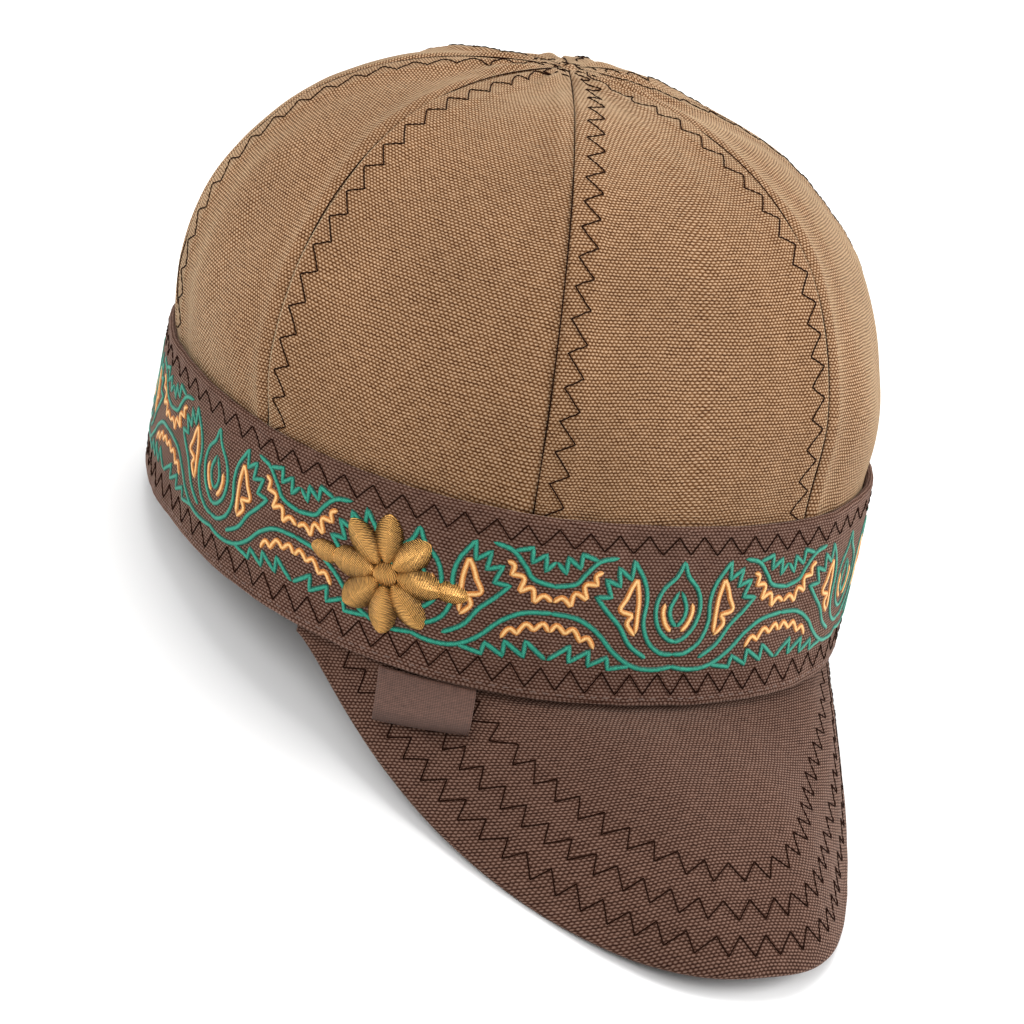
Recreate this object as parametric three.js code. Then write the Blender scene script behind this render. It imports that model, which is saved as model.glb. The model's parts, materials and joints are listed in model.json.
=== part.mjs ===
// Welding cap: a crown of eight canvas panels, a wide band with a raised rosette, a curved soft
// bill and a folded side label. Millimetres, +Z up, the wearer faces -Y, the wearer's left is +X.
// The cap is worked out on its rim, and the last lines tip it back to the way it rests on a table.

import * as THREE from 'three';

// Head opening, measured outside the band's lower edge
const rimLength = 200;
const rimWidth = 181.5;
const ovalSquareness = 2.29;

// Band: a folded strip that leans in towards its top edge
const bandHeight = 44.3;
const bandTopLength = 182.5;
const bandTopWidth = 187;
const bandWall = 2;
const bandFoldRadius = 0.6;

// Crown: panels tucked inside the band and sewn together up to the apex
const crownHeight = 84.3;
const crownWall = 1.5;
const crownTuck = 9;
const apexSetback = 13.6;
const apexTipRadius = 1;
const crownSwell = 2.8;
const panelFlatness = 0.25;
const frontFullness = 3;
const sideFullness = 2.36;
const backFullness = 1.92;
const frontSeamAngle = 22.4;
const sideSeamAngle = 72.3;

// Bill: a flange sewn inside the band, a tight roll under its edge, and the curved blade
const billLength = 76.5;
const billCornerLength = 2.5;
const billHalfAngle = 61.5;
const billWall = 2.2;
const billTuck = 8;
const billFrontSlope = 5;
const billSideSlope = 80;
const billFrontCurl = 43;
const billSideCurl = 20;
const billFrontSplay = 0.07;
const billSideSplay = 0.54;
const billFrontRounding = 0.22;
const billOutlineFullness = 1.25;
const billOutlineTaper = 1.38;
const billSlopeEase = 1.1;

// Side label: a folded ribbon that hangs from the band over the bill
const labelWidth = 24.5;
const labelDrop = 11.5;
const labelWall = 1.2;
const labelAngle = -37;
const labelStart = 1.6;

// Raised rosette on the band, a flower between two leaves
const rosetteAngle = -45;
const rosetteWidth = 42;
const rosetteFlowerDiameter = 29;
const rosetteRelief = 1.5;
const rosetteEdge = 0.5;
const petalCount = 8;
const petalDepth = 3;
const leafWidth = 11;

// Clearance between neighbouring pieces of cloth
const clothGap = 0.3;

// Fineness of the faceted surfaces
const bandSegments = 96;
const panelColumns = 8;
const billColumns = 44;
const bladeSteps = 12;
const labelColumns = 8;
const labelRows = 4;
const rosetteSpokes = 64;
const angleStep = 0.002;

// The bill rolls out under the middle of the band's wall and clears it all the way round
const billRollRadius = bandWall / 2 + clothGap + billWall / 2;

// How deep the crown and the bill's flange lie inside the band's outer face
const insideBand = bandWall + clothGap;

const degrees = Math.PI / 180;
const { lerp, smoothstep } = THREE.MathUtils;

const crownMaterial = new THREE.MeshStandardMaterial({ color: 0x9f7c5b, roughness: 0.85, metalness: 0 });
const bandMaterial = new THREE.MeshStandardMaterial({ color: 0x60483e, roughness: 0.87, metalness: 0 });
const billMaterial = new THREE.MeshStandardMaterial({ color: 0x614a3e, roughness: 0.87, metalness: 0 });
const labelMaterial = new THREE.MeshStandardMaterial({ color: 0x6c5650, roughness: 0.55, metalness: 0 });
const threadMaterial = new THREE.MeshStandardMaterial({ color: 0x96703c, roughness: 0.4, metalness: 0 });

// Rounded oval of the head, angle 0 at the forehead and growing towards the wearer's left
function ovalPoint(length, width, angle, height) {
  const side = Math.sin(angle);
  const front = Math.cos(angle);
  const power = 2 / ovalSquareness;
  const x = (width / 2) * Math.sign(side) * Math.abs(side) ** power;
  const y = (-length / 2) * Math.sign(front) * Math.abs(front) ** power;
  return new THREE.Vector3(x, y, height);
}

// Point of the band's wall at a height over the rim, a given depth inside its outer face
function bandPoint(angle, height, inset) {
  const share = height / bandHeight;
  const length = lerp(rimLength, bandTopLength, share) - 2 * inset;
  const width = lerp(rimWidth, bandTopWidth, share) - 2 * inset;
  return ovalPoint(length, width, angle, height);
}

// Exponent of the crown's profile on the side of the head that the angle looks to
function crownFullness(angle) {
  const sideShare = Math.sin(angle) ** 2;
  const lengthwise = Math.cos(angle) > 0 ? frontFullness : backFullness;
  return lerp(lengthwise, sideFullness, sideShare);
}

// Point of the crown's outer dome: travel -1 to 0 is the tuck in the band, 0 to 1 climbs to the apex
function domePoint(angle, travel) {
  if (travel <= 0) {
    return bandPoint(angle, bandHeight + travel * crownTuck, insideBand);
  }
  const swellTravel = 0.12;
  const inset = insideBand - crownSwell * Math.sin(Math.min(travel / swellTravel, 1) * Math.PI / 2);
  const power = 2 / crownFullness(angle);
  const reach = Math.cos(travel * Math.PI / 2) ** power;
  const lift = Math.sin(travel * Math.PI / 2) ** power;
  const foot = ovalPoint(bandTopLength - 2 * inset, bandTopWidth - 2 * inset, angle, bandHeight);
  return new THREE.Vector3(foot.x * reach, foot.y * reach + apexSetback * lift,
    foot.z + crownHeight * lift);
}

// The same point moved inwards along the dome's normal by a depth
function domePointAtDepth(angle, travel, depth) {
  const across = domePoint(angle + angleStep, travel).sub(domePoint(angle - angleStep, travel));
  const above = domePoint(angle, Math.min(travel + angleStep, 1));
  const up = above.sub(domePoint(angle, travel - angleStep));
  const outward = across.cross(up).normalize();
  return domePoint(angle, travel).addScaledVector(outward, -depth);
}

// Travel at which the dome has closed to a radius round the apex
function travelAtRadius(angle, radius) {
  const reach = (2 * radius) / Math.min(bandTopLength, bandTopWidth);
  return Math.acos(reach ** (crownFullness(angle) / 2)) * 2 / Math.PI;
}

// Closed solid between an outer and an inner sheet of points, both as rows of columns
function solidBetween(outer, inner) {
  const rows = outer.length;
  const columns = outer[0].length;
  const points = [...outer.flat(), ...inner.flat()];
  const outerAt = (row, column) => row * columns + column;
  const innerAt = (row, column) => (rows + row) * columns + column;
  const faces = [];
  const addQuad = (a, b, c, d) => faces.push(a, b, c, a, c, d);
  for (let row = 0; row < rows - 1; row += 1) {
    for (let column = 0; column < columns - 1; column += 1) {
      const next = column + 1;
      const above = row + 1;
      addQuad(outerAt(row, column), outerAt(row, next), outerAt(above, next), outerAt(above, column));
      addQuad(innerAt(row, next), innerAt(row, column), innerAt(above, column), innerAt(above, next));
    }
    const last = columns - 1;
    addQuad(innerAt(row, 0), outerAt(row, 0), outerAt(row + 1, 0), innerAt(row + 1, 0));
    addQuad(outerAt(row, last), innerAt(row, last), innerAt(row + 1, last), outerAt(row + 1, last));
  }
  for (let column = 0; column < columns - 1; column += 1) {
    const next = column + 1;
    const top = rows - 1;
    addQuad(innerAt(0, column), innerAt(0, next), outerAt(0, next), outerAt(0, column));
    addQuad(outerAt(top, column), outerAt(top, next), innerAt(top, next), innerAt(top, column));
  }
  return facetedSolid(points, faces);
}

// Closed ring from a section of points repeated round the oval
function ringFrom(sections) {
  const count = sections.length;
  const size = sections[0].length;
  const faces = [];
  for (let turn = 0; turn < count; turn += 1) {
    for (let index = 0; index < size; index += 1) {
      const here = turn * size;
      const there = ((turn + 1) % count) * size;
      const next = (index + 1) % size;
      faces.push(here + index, there + index, there + next);
      faces.push(here + index, there + next, here + next);
    }
  }
  return facetedSolid(sections.flat(), faces);
}

function facetedSolid(points, faces) {
  const geometry = new THREE.BufferGeometry();
  const positions = points.flatMap((point) => [point.x, point.y, point.z]);
  geometry.setAttribute('position', new THREE.Float32BufferAttribute(positions, 3));
  geometry.setIndex(faces);
  geometry.computeVertexNormals();
  return geometry;
}

// Evenly spaced shares from 0 to 1, ends included
function shares(steps) {
  return Array.from({ length: steps + 1 }, (unused, index) => index / steps);
}

// One crown panel between two seams
function makeCrownPanel(fromAngle, toAngle) {
  const flatTravel = 0.3;
  const climb = [-1, -0.5, 0, 0.02, 0.06, 0.12, 0.2, 0.29, 0.39, 0.49, 0.59, 0.69, 0.78, 0.86, 0.93, 0.97];
  const sheet = (depth) => {
    const rowAt = (travelAt) => {
      const seamPoint = domePoint(fromAngle, travelAt(fromAngle));
      const margin = clothGap / 2 / Math.hypot(seamPoint.x, seamPoint.y - apexSetback);
      const from = fromAngle + margin;
      const to = toAngle - margin;
      const start = domePointAtDepth(from, travelAt(from), depth);
      const end = domePointAtDepth(to, travelAt(to), depth);
      const flatness = panelFlatness * smoothstep(travelAt(from), 0, flatTravel);
      return shares(panelColumns).map((share) => {
        const angle = lerp(from, to, share);
        const chord = start.clone().lerp(end, share);
        return domePointAtDepth(angle, travelAt(angle), depth).lerp(chord, flatness);
      });
    };
    const rows = climb.map((travel) => rowAt(() => travel));
    rows.push(rowAt((angle) => travelAtRadius(angle, apexTipRadius)));
    return rows;
  };
  return solidBetween(sheet(0), sheet(crownWall));
}

// Band: a strip with folded, rounded edges
function makeBand() {
  const corners = [
    { inset: 0, height: 0 },
    { inset: 0, height: bandHeight - bandFoldRadius },
    { inset: bandFoldRadius, height: bandHeight },
    { inset: bandWall - bandFoldRadius, height: bandHeight },
    { inset: bandWall, height: bandHeight - bandFoldRadius },
    { inset: bandWall, height: 0 },
  ];
  const sections = Array.from({ length: bandSegments }, (unused, index) => {
    const angle = (index / bandSegments) * 2 * Math.PI;
    return corners.map((corner) => bandPoint(angle, corner.height, corner.inset));
  });
  return ringFrom(sections);
}

// How far round from the bill's middle to its corner, rounded off at the middle
function sideShareOf(share) {
  const rounding = billFrontRounding;
  const bent = Math.hypot(share, rounding) - rounding;
  return bent / (Math.hypot(1, rounding) - rounding);
}

// Free length of the blade, longest in front and shortest at the corners
function bladeLength(share) {
  const outline = (1 - sideShareOf(share) ** billOutlineFullness) ** billOutlineTaper;
  return billCornerLength + (billLength - billCornerLength) * outline;
}

// Run over which the bill rolls from hanging down inside the band to the blade's first slope
function rollRunOf(share) {
  const rootSlope = lerp(billFrontSlope, billSideSlope, sideShareOf(share) ** billSlopeEase);
  return billRollRadius * (90 - rootSlope) * degrees;
}

// Point of the bill at a share -1 to 1 round it, a run along the blade and a lift off its middle
function billPoint(share, run, lift) {
  const angle = share * billHalfAngle * degrees;
  const splay = lerp(billFrontSplay, billSideSplay, share ** 2) * angle;
  const curl = (lerp(billFrontCurl, billSideCurl, sideShareOf(share)) * degrees) / billLength;
  const rollRun = rollRunOf(share);
  const turned = Math.min(run, rollRun) / billRollRadius;
  let out = billRollRadius * (1 - Math.cos(turned));
  let down = billRollRadius * Math.sin(turned);
  let slope = Math.PI / 2 - turned;
  const step = Math.max(run - rollRun, 0) / bladeSteps;
  for (let index = 0; index < bladeSteps; index += 1) {
    slope += curl * step / 2;
    out += step * Math.cos(slope);
    down += step * Math.sin(slope);
    slope += curl * step / 2;
  }
  out += lift * Math.sin(slope);
  down -= lift * Math.cos(slope);
  const root = bandPoint(angle, 0, insideBand + billWall / 2);
  return root.add(new THREE.Vector3(out * Math.sin(splay), -out * Math.cos(splay), -down));
}

function makeBill() {
  const alongBlade = [0.03, 0.06, 0.1, 0.17, 0.26, 0.36, 0.47, 0.58, 0.69, 0.8, 0.9, 1];
  const around = shares(billColumns).map((share) => 1 - 2 * share);
  const sheet = (lift, flangeInset) => {
    const blade = alongBlade.map((part) => (
      around.map((share) => billPoint(share, part * (rollRunOf(share) + bladeLength(share)), lift))));
    const flange = [0, billTuck / 2, billTuck].map((height) => (
      around.map((share) => bandPoint(share * billHalfAngle * degrees, height, flangeInset))));
    return [...flange.reverse(), ...blade];
  };
  const outer = sheet(billWall / 2, insideBand);
  const inner = sheet(-billWall / 2, insideBand + billWall);
  return solidBetween(outer, inner);
}

// Label: a folded ribbon that lies on the bill just under the band's edge
function makeLabel() {
  const middle = labelAngle / billHalfAngle;
  const ahead = billPoint(middle + angleStep, 0, 0);
  const behind = billPoint(middle - angleStep, 0, 0);
  const halfShare = (labelWidth * angleStep) / ahead.distanceTo(behind);
  const around = shares(labelColumns).map((share) => middle + halfShare * (1 - 2 * share));
  const down = shares(labelRows).map((share) => labelStart + bandWall + labelDrop * share);
  const sheet = (lift) => down.map((run) => around.map((share) => billPoint(share, run, lift)));
  const floor = billWall / 2 + clothGap;
  return solidBetween(sheet(floor + labelWall), sheet(floor));
}

// Outline of the rosette as a radius for each direction: petals, and a pointed leaf on either side
function rosetteRadius(direction) {
  const petal = Math.abs(Math.cos(direction * petalCount / 2)) ** 0.6;
  const flower = rosetteFlowerDiameter / 2 - petalDepth * (1 - petal);
  const across = Math.abs(Math.sin(direction));
  const along = Math.abs(Math.cos(direction));
  const leaf = 1 / (along * 2 / rosetteWidth + across * 2 / leafWidth);
  return Math.max(flower, leaf);
}

function makeRosette() {
  const rings = [0.25, 0.5, 0.75, 0.92, 1];
  const centreAngle = rosetteAngle * degrees;
  const middleHeight = bandHeight / 2;
  const ahead = bandPoint(centreAngle + angleStep, middleHeight, 0);
  const behind = bandPoint(centreAngle - angleStep, middleHeight, 0);
  const arcPerAngle = ahead.distanceTo(behind) / (2 * angleStep);
  const place = (radius, direction, lift) => {
    const angle = centreAngle + (radius * Math.cos(direction)) / arcPerAngle;
    const height = middleHeight + radius * Math.sin(direction);
    return bandPoint(angle, height, -clothGap - lift);
  };
  const relief = (ring) => rosetteEdge + (rosetteRelief - rosetteEdge) * (1 - ring ** 3);
  const spokes = Array.from({ length: rosetteSpokes }, (unused, index) => (
    (index / rosetteSpokes) * 2 * Math.PI));
  const points = [place(0, 0, rosetteRelief), place(0, 0, 0)];
  for (const ring of rings) {
    points.push(...spokes.map((spoke) => place(ring * rosetteRadius(spoke), spoke, relief(ring))));
  }
  for (const ring of rings) {
    points.push(...spokes.map((spoke) => place(ring * rosetteRadius(spoke), spoke, 0)));
  }
  const at = (ring, spoke) => 2 + ring * rosetteSpokes + (spoke % rosetteSpokes);
  const lastRing = rings.length - 1;
  const backRing = rings.length;
  const faces = [];
  const addQuad = (a, b, c, d) => faces.push(a, b, c, a, c, d);
  for (let spoke = 0; spoke < rosetteSpokes; spoke += 1) {
    faces.push(0, at(0, spoke), at(0, spoke + 1));
    faces.push(1, at(backRing, spoke + 1), at(backRing, spoke));
    for (let ring = 0; ring < lastRing; ring += 1) {
      const back = backRing + ring;
      addQuad(at(ring, spoke), at(ring + 1, spoke), at(ring + 1, spoke + 1), at(ring, spoke + 1));
      addQuad(at(back, spoke + 1), at(back + 1, spoke + 1), at(back + 1, spoke), at(back, spoke));
    }
    const rim = backRing + lastRing;
    addQuad(at(lastRing, spoke), at(rim, spoke), at(rim, spoke + 1), at(lastRing, spoke + 1));
  }
  return facetedSolid(points, faces);
}

function namedMesh(name, geometry, material) {
  const mesh = new THREE.Mesh(geometry, material);
  mesh.name = name;
  return mesh;
}

const cap = new THREE.Group();

const seamAngles = [-frontSeamAngle, frontSeamAngle, sideSeamAngle, 180 - sideSeamAngle,
  180 - frontSeamAngle, 180 + frontSeamAngle, 180 + sideSeamAngle, 360 - sideSeamAngle,
  360 - frontSeamAngle];
const panelPlaces = ['front', 'front_left', 'side_left', 'back_left', 'back', 'back_right',
  'side_right', 'front_right'];
panelPlaces.forEach((place, index) => {
  const panel = makeCrownPanel(seamAngles[index] * degrees, seamAngles[index + 1] * degrees);
  cap.add(namedMesh(`crown_panel_${place}`, panel, crownMaterial));
});
const band = namedMesh('band', makeBand(), bandMaterial);
const bill = namedMesh('bill', makeBill(), billMaterial);
cap.add(band, bill);
cap.add(namedMesh('side_label', makeLabel(), labelMaterial));
cap.add(namedMesh('band_rosette', makeRosette(), threadMaterial));

// Height of a mesh's lowest point once the cap is tipped back by an angle
function lowestPoint(mesh, tip) {
  const positions = mesh.geometry.getAttribute('position');
  let lowest = Infinity;
  for (let index = 0; index < positions.count; index += 1) {
    const height = positions.getZ(index) * Math.cos(tip) - positions.getY(index) * Math.sin(tip);
    lowest = Math.min(lowest, height);
  }
  return lowest;
}

// Tip the cap back until the bill's edge and the back of the rim touch the table together
let leastTip = 0;
let mostTip = 40 * degrees;
for (let halving = 0; halving < 40; halving += 1) {
  const tip = (leastTip + mostTip) / 2;
  if (lowestPoint(bill, tip) < lowestPoint(band, tip)) {
    leastTip = tip;
  } else {
    mostTip = tip;
  }
}
cap.rotation.x = -leastTip;

// Stand it on the table with the middle of its outline over the origin
const restingCap = new THREE.Group();
restingCap.add(cap);
restingCap.updateMatrixWorld(true);
const bounds = new THREE.Box3().setFromObject(restingCap, true);
const middle = bounds.getCenter(new THREE.Vector3());
cap.position.set(-middle.x, -middle.y, -bounds.min.z);

export default restingCap;
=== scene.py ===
"""Dresses the welding cap: canvas crown, stitched band, soft bill, label and rosette.

The cap's large shape is worked out on its rim in millimetres, with the wearer facing -Y and
the wearer's left on +X, and then tipped back to the way it rests on a table.
"""

import bisect
import json
import logging
import math
import random
from dataclasses import dataclass
from enum import Enum
from typing import Callable, Sequence

import bmesh
import bpy
from mathutils import Matrix, Vector, noise
from mathutils.bvhtree import BVHTree
from mathutils.kdtree import KDTree


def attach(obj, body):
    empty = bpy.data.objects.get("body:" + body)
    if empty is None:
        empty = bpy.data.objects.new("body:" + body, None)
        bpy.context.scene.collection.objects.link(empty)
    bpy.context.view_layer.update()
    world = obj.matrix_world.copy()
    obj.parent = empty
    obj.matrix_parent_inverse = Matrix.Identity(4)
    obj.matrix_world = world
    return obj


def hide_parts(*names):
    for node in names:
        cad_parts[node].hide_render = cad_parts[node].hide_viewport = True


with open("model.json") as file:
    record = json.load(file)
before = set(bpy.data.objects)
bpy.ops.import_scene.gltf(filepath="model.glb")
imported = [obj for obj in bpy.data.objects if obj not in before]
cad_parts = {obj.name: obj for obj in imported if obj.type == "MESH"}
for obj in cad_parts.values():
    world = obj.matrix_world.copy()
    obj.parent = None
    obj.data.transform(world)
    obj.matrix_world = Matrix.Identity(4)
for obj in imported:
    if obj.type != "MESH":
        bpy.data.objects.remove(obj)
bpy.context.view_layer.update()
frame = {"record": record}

MM = 0.001
MERGE = 1e-7
TURN = 2 * math.pi
UP = Vector((0.0, 0.0, 1.0))
CLOTH_UV = "cloth"
LOG = logging.getLogger("welding_cap")

Colour = tuple[float, float, float]
Placer = Callable[[float, float], Vector]


def lerp(low: float, high: float, share: float) -> float:
    """Value at a share of the way from low to high."""
    return low + (high - low) * share


def smooth(value: float, low: float, high: float) -> float:
    """Smooth step from 0 at low to 1 at high."""
    share = min(max((value - low) / (high - low), 0.0), 1.0)
    return share * share * (3 - 2 * share)


def signed_power(value: float, power: float) -> float:
    """A power that keeps the sign of its base."""
    return math.copysign(abs(value) ** power, value)


def run_lengths(points: Sequence[Vector]) -> list[float]:
    """Length of a line up to each of its points."""
    lengths = [0.0]
    for here, there in zip(points, points[1:]):
        lengths.append(lengths[-1] + (there - here).length)
    return lengths


def nearest_tree(points: Sequence[Vector]) -> KDTree:
    """A tree that finds the nearest of some points."""
    tree = KDTree(len(points))
    for index, point in enumerate(points):
        tree.insert(point, index)
    tree.balance()
    return tree


def bell(place: float, centre: float, spread: float) -> float:
    """A soft bump of height 1 round a centre."""
    return math.exp(-(((place - centre) / spread) ** 2))


def ring(turn: float, height: float = 0.0) -> Vector:
    """A point of the unit circle, at a height."""
    return Vector((math.cos(turn), math.sin(turn), height))


def add_object(name: str, data: bpy.types.ID) -> bpy.types.Object:
    """Adds an object to the scene."""
    made = bpy.data.objects.new(name, data)
    bpy.context.scene.collection.objects.link(made)
    return made


def display(red: int, green: int, blue: int) -> Colour:
    """A screen colour of 0 to 255 a channel as the linear colour that a shader takes."""
    shares = (channel / 255 for channel in (red, green, blue))
    return tuple(
        share / 12.92 if share <= 0.04045 else ((share + 0.055) / 1.055) ** 2.4
        for share in shares
    )


@dataclass(frozen=True)
class CapForm:
    """The cap's large shape: sizes in millimetres and angles in degrees."""

    rim_length: float = 200.0
    rim_width: float = 181.5
    oval_squareness: float = 2.29
    band_height: float = 44.3
    band_top_length: float = 182.5
    band_top_width: float = 187.0
    band_wall: float = 2.0
    cloth_gap: float = 0.3
    crown_height: float = 84.3
    crown_wall: float = 1.5
    crown_tuck: float = 9.0
    apex_setback: float = 13.6
    crown_swell: float = 2.8
    front_fullness: float = 3.0
    side_fullness: float = 2.36
    back_fullness: float = 1.92
    front_seam_angle: float = 22.4
    side_seam_angle: float = 72.3
    bill_length: float = 76.5
    bill_corner_length: float = 2.5
    bill_half_angle: float = 61.5
    bill_wall: float = 2.2
    bill_tuck: float = 8.0
    bill_front_slope: float = 5.0
    bill_side_slope: float = 80.0
    bill_front_curl: float = 43.0
    bill_side_curl: float = 20.0
    bill_front_splay: float = 0.07
    bill_side_splay: float = 0.54
    bill_front_rounding: float = 0.22
    bill_outline_fullness: float = 1.25
    bill_outline_taper: float = 1.38
    bill_slope_ease: float = 1.1
    blade_steps: int = 12

    @property
    def inside_band(self) -> float:
        """Depth inside the band's outer face at which the crown and the flange lie."""
        return self.band_wall + self.cloth_gap

    @property
    def roll_radius(self) -> float:
        """Radius on which the bill rolls out from under the band."""
        return self.band_wall / 2 + self.cloth_gap + self.bill_wall / 2

    def oval_point(
        self, length: float, width: float, angle: float, height: float
    ) -> Vector:
        """Point of the rounded oval of the head, angle 0 at the forehead."""
        power = 2 / self.oval_squareness
        return Vector(
            (
                width / 2 * signed_power(math.sin(angle), power),
                -length / 2 * signed_power(math.cos(angle), power),
                height,
            )
        )

    def band_point(self, angle: float, height: float, inset: float = 0.0) -> Vector:
        """Point of the band's wall, a depth inside its outer face."""
        share = height / self.band_height
        length = lerp(self.rim_length, self.band_top_length, share) - 2 * inset
        width = lerp(self.rim_width, self.band_top_width, share) - 2 * inset
        return self.oval_point(length, width, angle, height)

    def crown_fullness(self, angle: float) -> float:
        """Exponent of the crown's profile on the side that the angle looks to."""
        lengthwise = self.front_fullness if math.cos(angle) > 0 else self.back_fullness
        return lerp(lengthwise, self.side_fullness, math.sin(angle) ** 2)

    def dome_point(self, angle: float, travel: float) -> Vector:
        """Point of the crown: travel -1 to 0 is its tuck, 0 to 1 climbs to the apex."""
        if travel <= 0:
            height = self.band_height + travel * self.crown_tuck
            return self.band_point(angle, height, self.inside_band)
        swell = self.crown_swell * math.sin(min(travel / 0.12, 1) * math.pi / 2)
        inset = self.inside_band - swell
        power = 2 / self.crown_fullness(angle)
        turned = min(travel, 1.0) * math.pi / 2
        reach = max(math.cos(turned), 0.0) ** power
        lift = math.sin(turned) ** power
        foot = self.oval_point(
            self.band_top_length - 2 * inset,
            self.band_top_width - 2 * inset,
            angle,
            self.band_height,
        )
        return Vector(
            (
                foot.x * reach,
                foot.y * reach + self.apex_setback * lift,
                foot.z + self.crown_height * lift,
            )
        )

    def apex_radius(self, angle: float, travel: float) -> float:
        """Distance of a dome point from the upright line through the apex."""
        point = self.dome_point(angle, travel)
        return math.hypot(point.x, point.y - self.apex_setback)

    def travel_at_radius(self, angle: float, radius: float) -> float:
        """Travel at which the dome has closed to a radius round the apex."""
        reach = 2 * radius / min(self.band_top_length, self.band_top_width)
        return math.acos(reach ** (self.crown_fullness(angle) / 2)) * 2 / math.pi

    def side_share(self, share: float) -> float:
        """How far round from the bill's middle to its corner, rounded at the middle."""
        rounding = self.bill_front_rounding
        return (math.hypot(share, rounding) - rounding) / (
            math.hypot(1, rounding) - rounding
        )

    def blade_length(self, share: float) -> float:
        """Free length of the bill, longest in front and shortest at the corners."""
        side = min(self.side_share(share), 1.0)
        outline = (1 - side**self.bill_outline_fullness) ** self.bill_outline_taper
        return (
            self.bill_corner_length
            + (self.bill_length - self.bill_corner_length) * outline
        )

    def roll_run(self, share: float) -> float:
        """Run over which the bill rolls from hanging down to its first slope."""
        side = self.side_share(share) ** self.bill_slope_ease
        slope = lerp(self.bill_front_slope, self.bill_side_slope, side)
        return self.roll_radius * math.radians(90 - slope)

    def bill_run(self, share: float) -> float:
        """Whole run of the bill from the band's lower edge to the bill's own edge."""
        return self.roll_run(share) + self.blade_length(share)

    def bill_point(self, share: float, run: float, lift: float) -> Vector:
        """Point of the bill, a run along it and a lift off its middle."""
        angle = share * math.radians(self.bill_half_angle)
        splay = lerp(self.bill_front_splay, self.bill_side_splay, share**2) * angle
        curl = (
            math.radians(
                lerp(self.bill_front_curl, self.bill_side_curl, self.side_share(share))
            )
            / self.bill_length
        )
        roll_run = self.roll_run(share)
        turned = min(run, roll_run) / self.roll_radius
        out = self.roll_radius * (1 - math.cos(turned))
        down = self.roll_radius * math.sin(turned)
        slope = math.pi / 2 - turned
        step = max(run - roll_run, 0) / self.blade_steps
        for _ in range(self.blade_steps):
            slope += curl * step / 2
            out += step * math.cos(slope)
            down += step * math.sin(slope)
            slope += curl * step / 2
        out += lift * math.sin(slope)
        down -= lift * math.cos(slope)
        root = self.band_point(angle, 0, self.inside_band + self.bill_wall / 2)
        return root + Vector((out * math.sin(splay), -out * math.cos(splay), -down))


@dataclass(frozen=True)
class Rest:
    """The way the cap rests: tipped back by an angle, then moved onto the table."""

    tip: float
    shift: Vector

    @classmethod
    def from_record(cls, record: dict, rim_y: float = 99.0) -> "Rest":
        """Reads the rest from the mount on the back of the rim.

        Args:
            record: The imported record.
            rim_y: Where the mount lies on the rim, in millimetres behind its middle.

        Returns:
            The rest.
        """
        mount = record["mounts"][0]
        axis, place = Vector(mount["axis"]), Vector(mount["pos_m"])
        tip = math.atan2(-axis.y, -axis.z)
        turned = Matrix.Rotation(-tip, 3, "X") @ Vector((0, rim_y * MM, 0))
        return cls(tip, place - turned)

    @property
    def turn(self) -> Matrix:
        """Rotation from the cap on its rim to the cap at rest."""
        return Matrix.Rotation(-self.tip, 3, "X")

    def place(self, point: Vector) -> Vector:
        """A point of the cap on its rim, in millimetres, as a point of the row in metres."""
        return self.turn @ (point * MM) + self.shift


FORM = CapForm()
REST = Rest.from_record(frame["record"])


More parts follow.
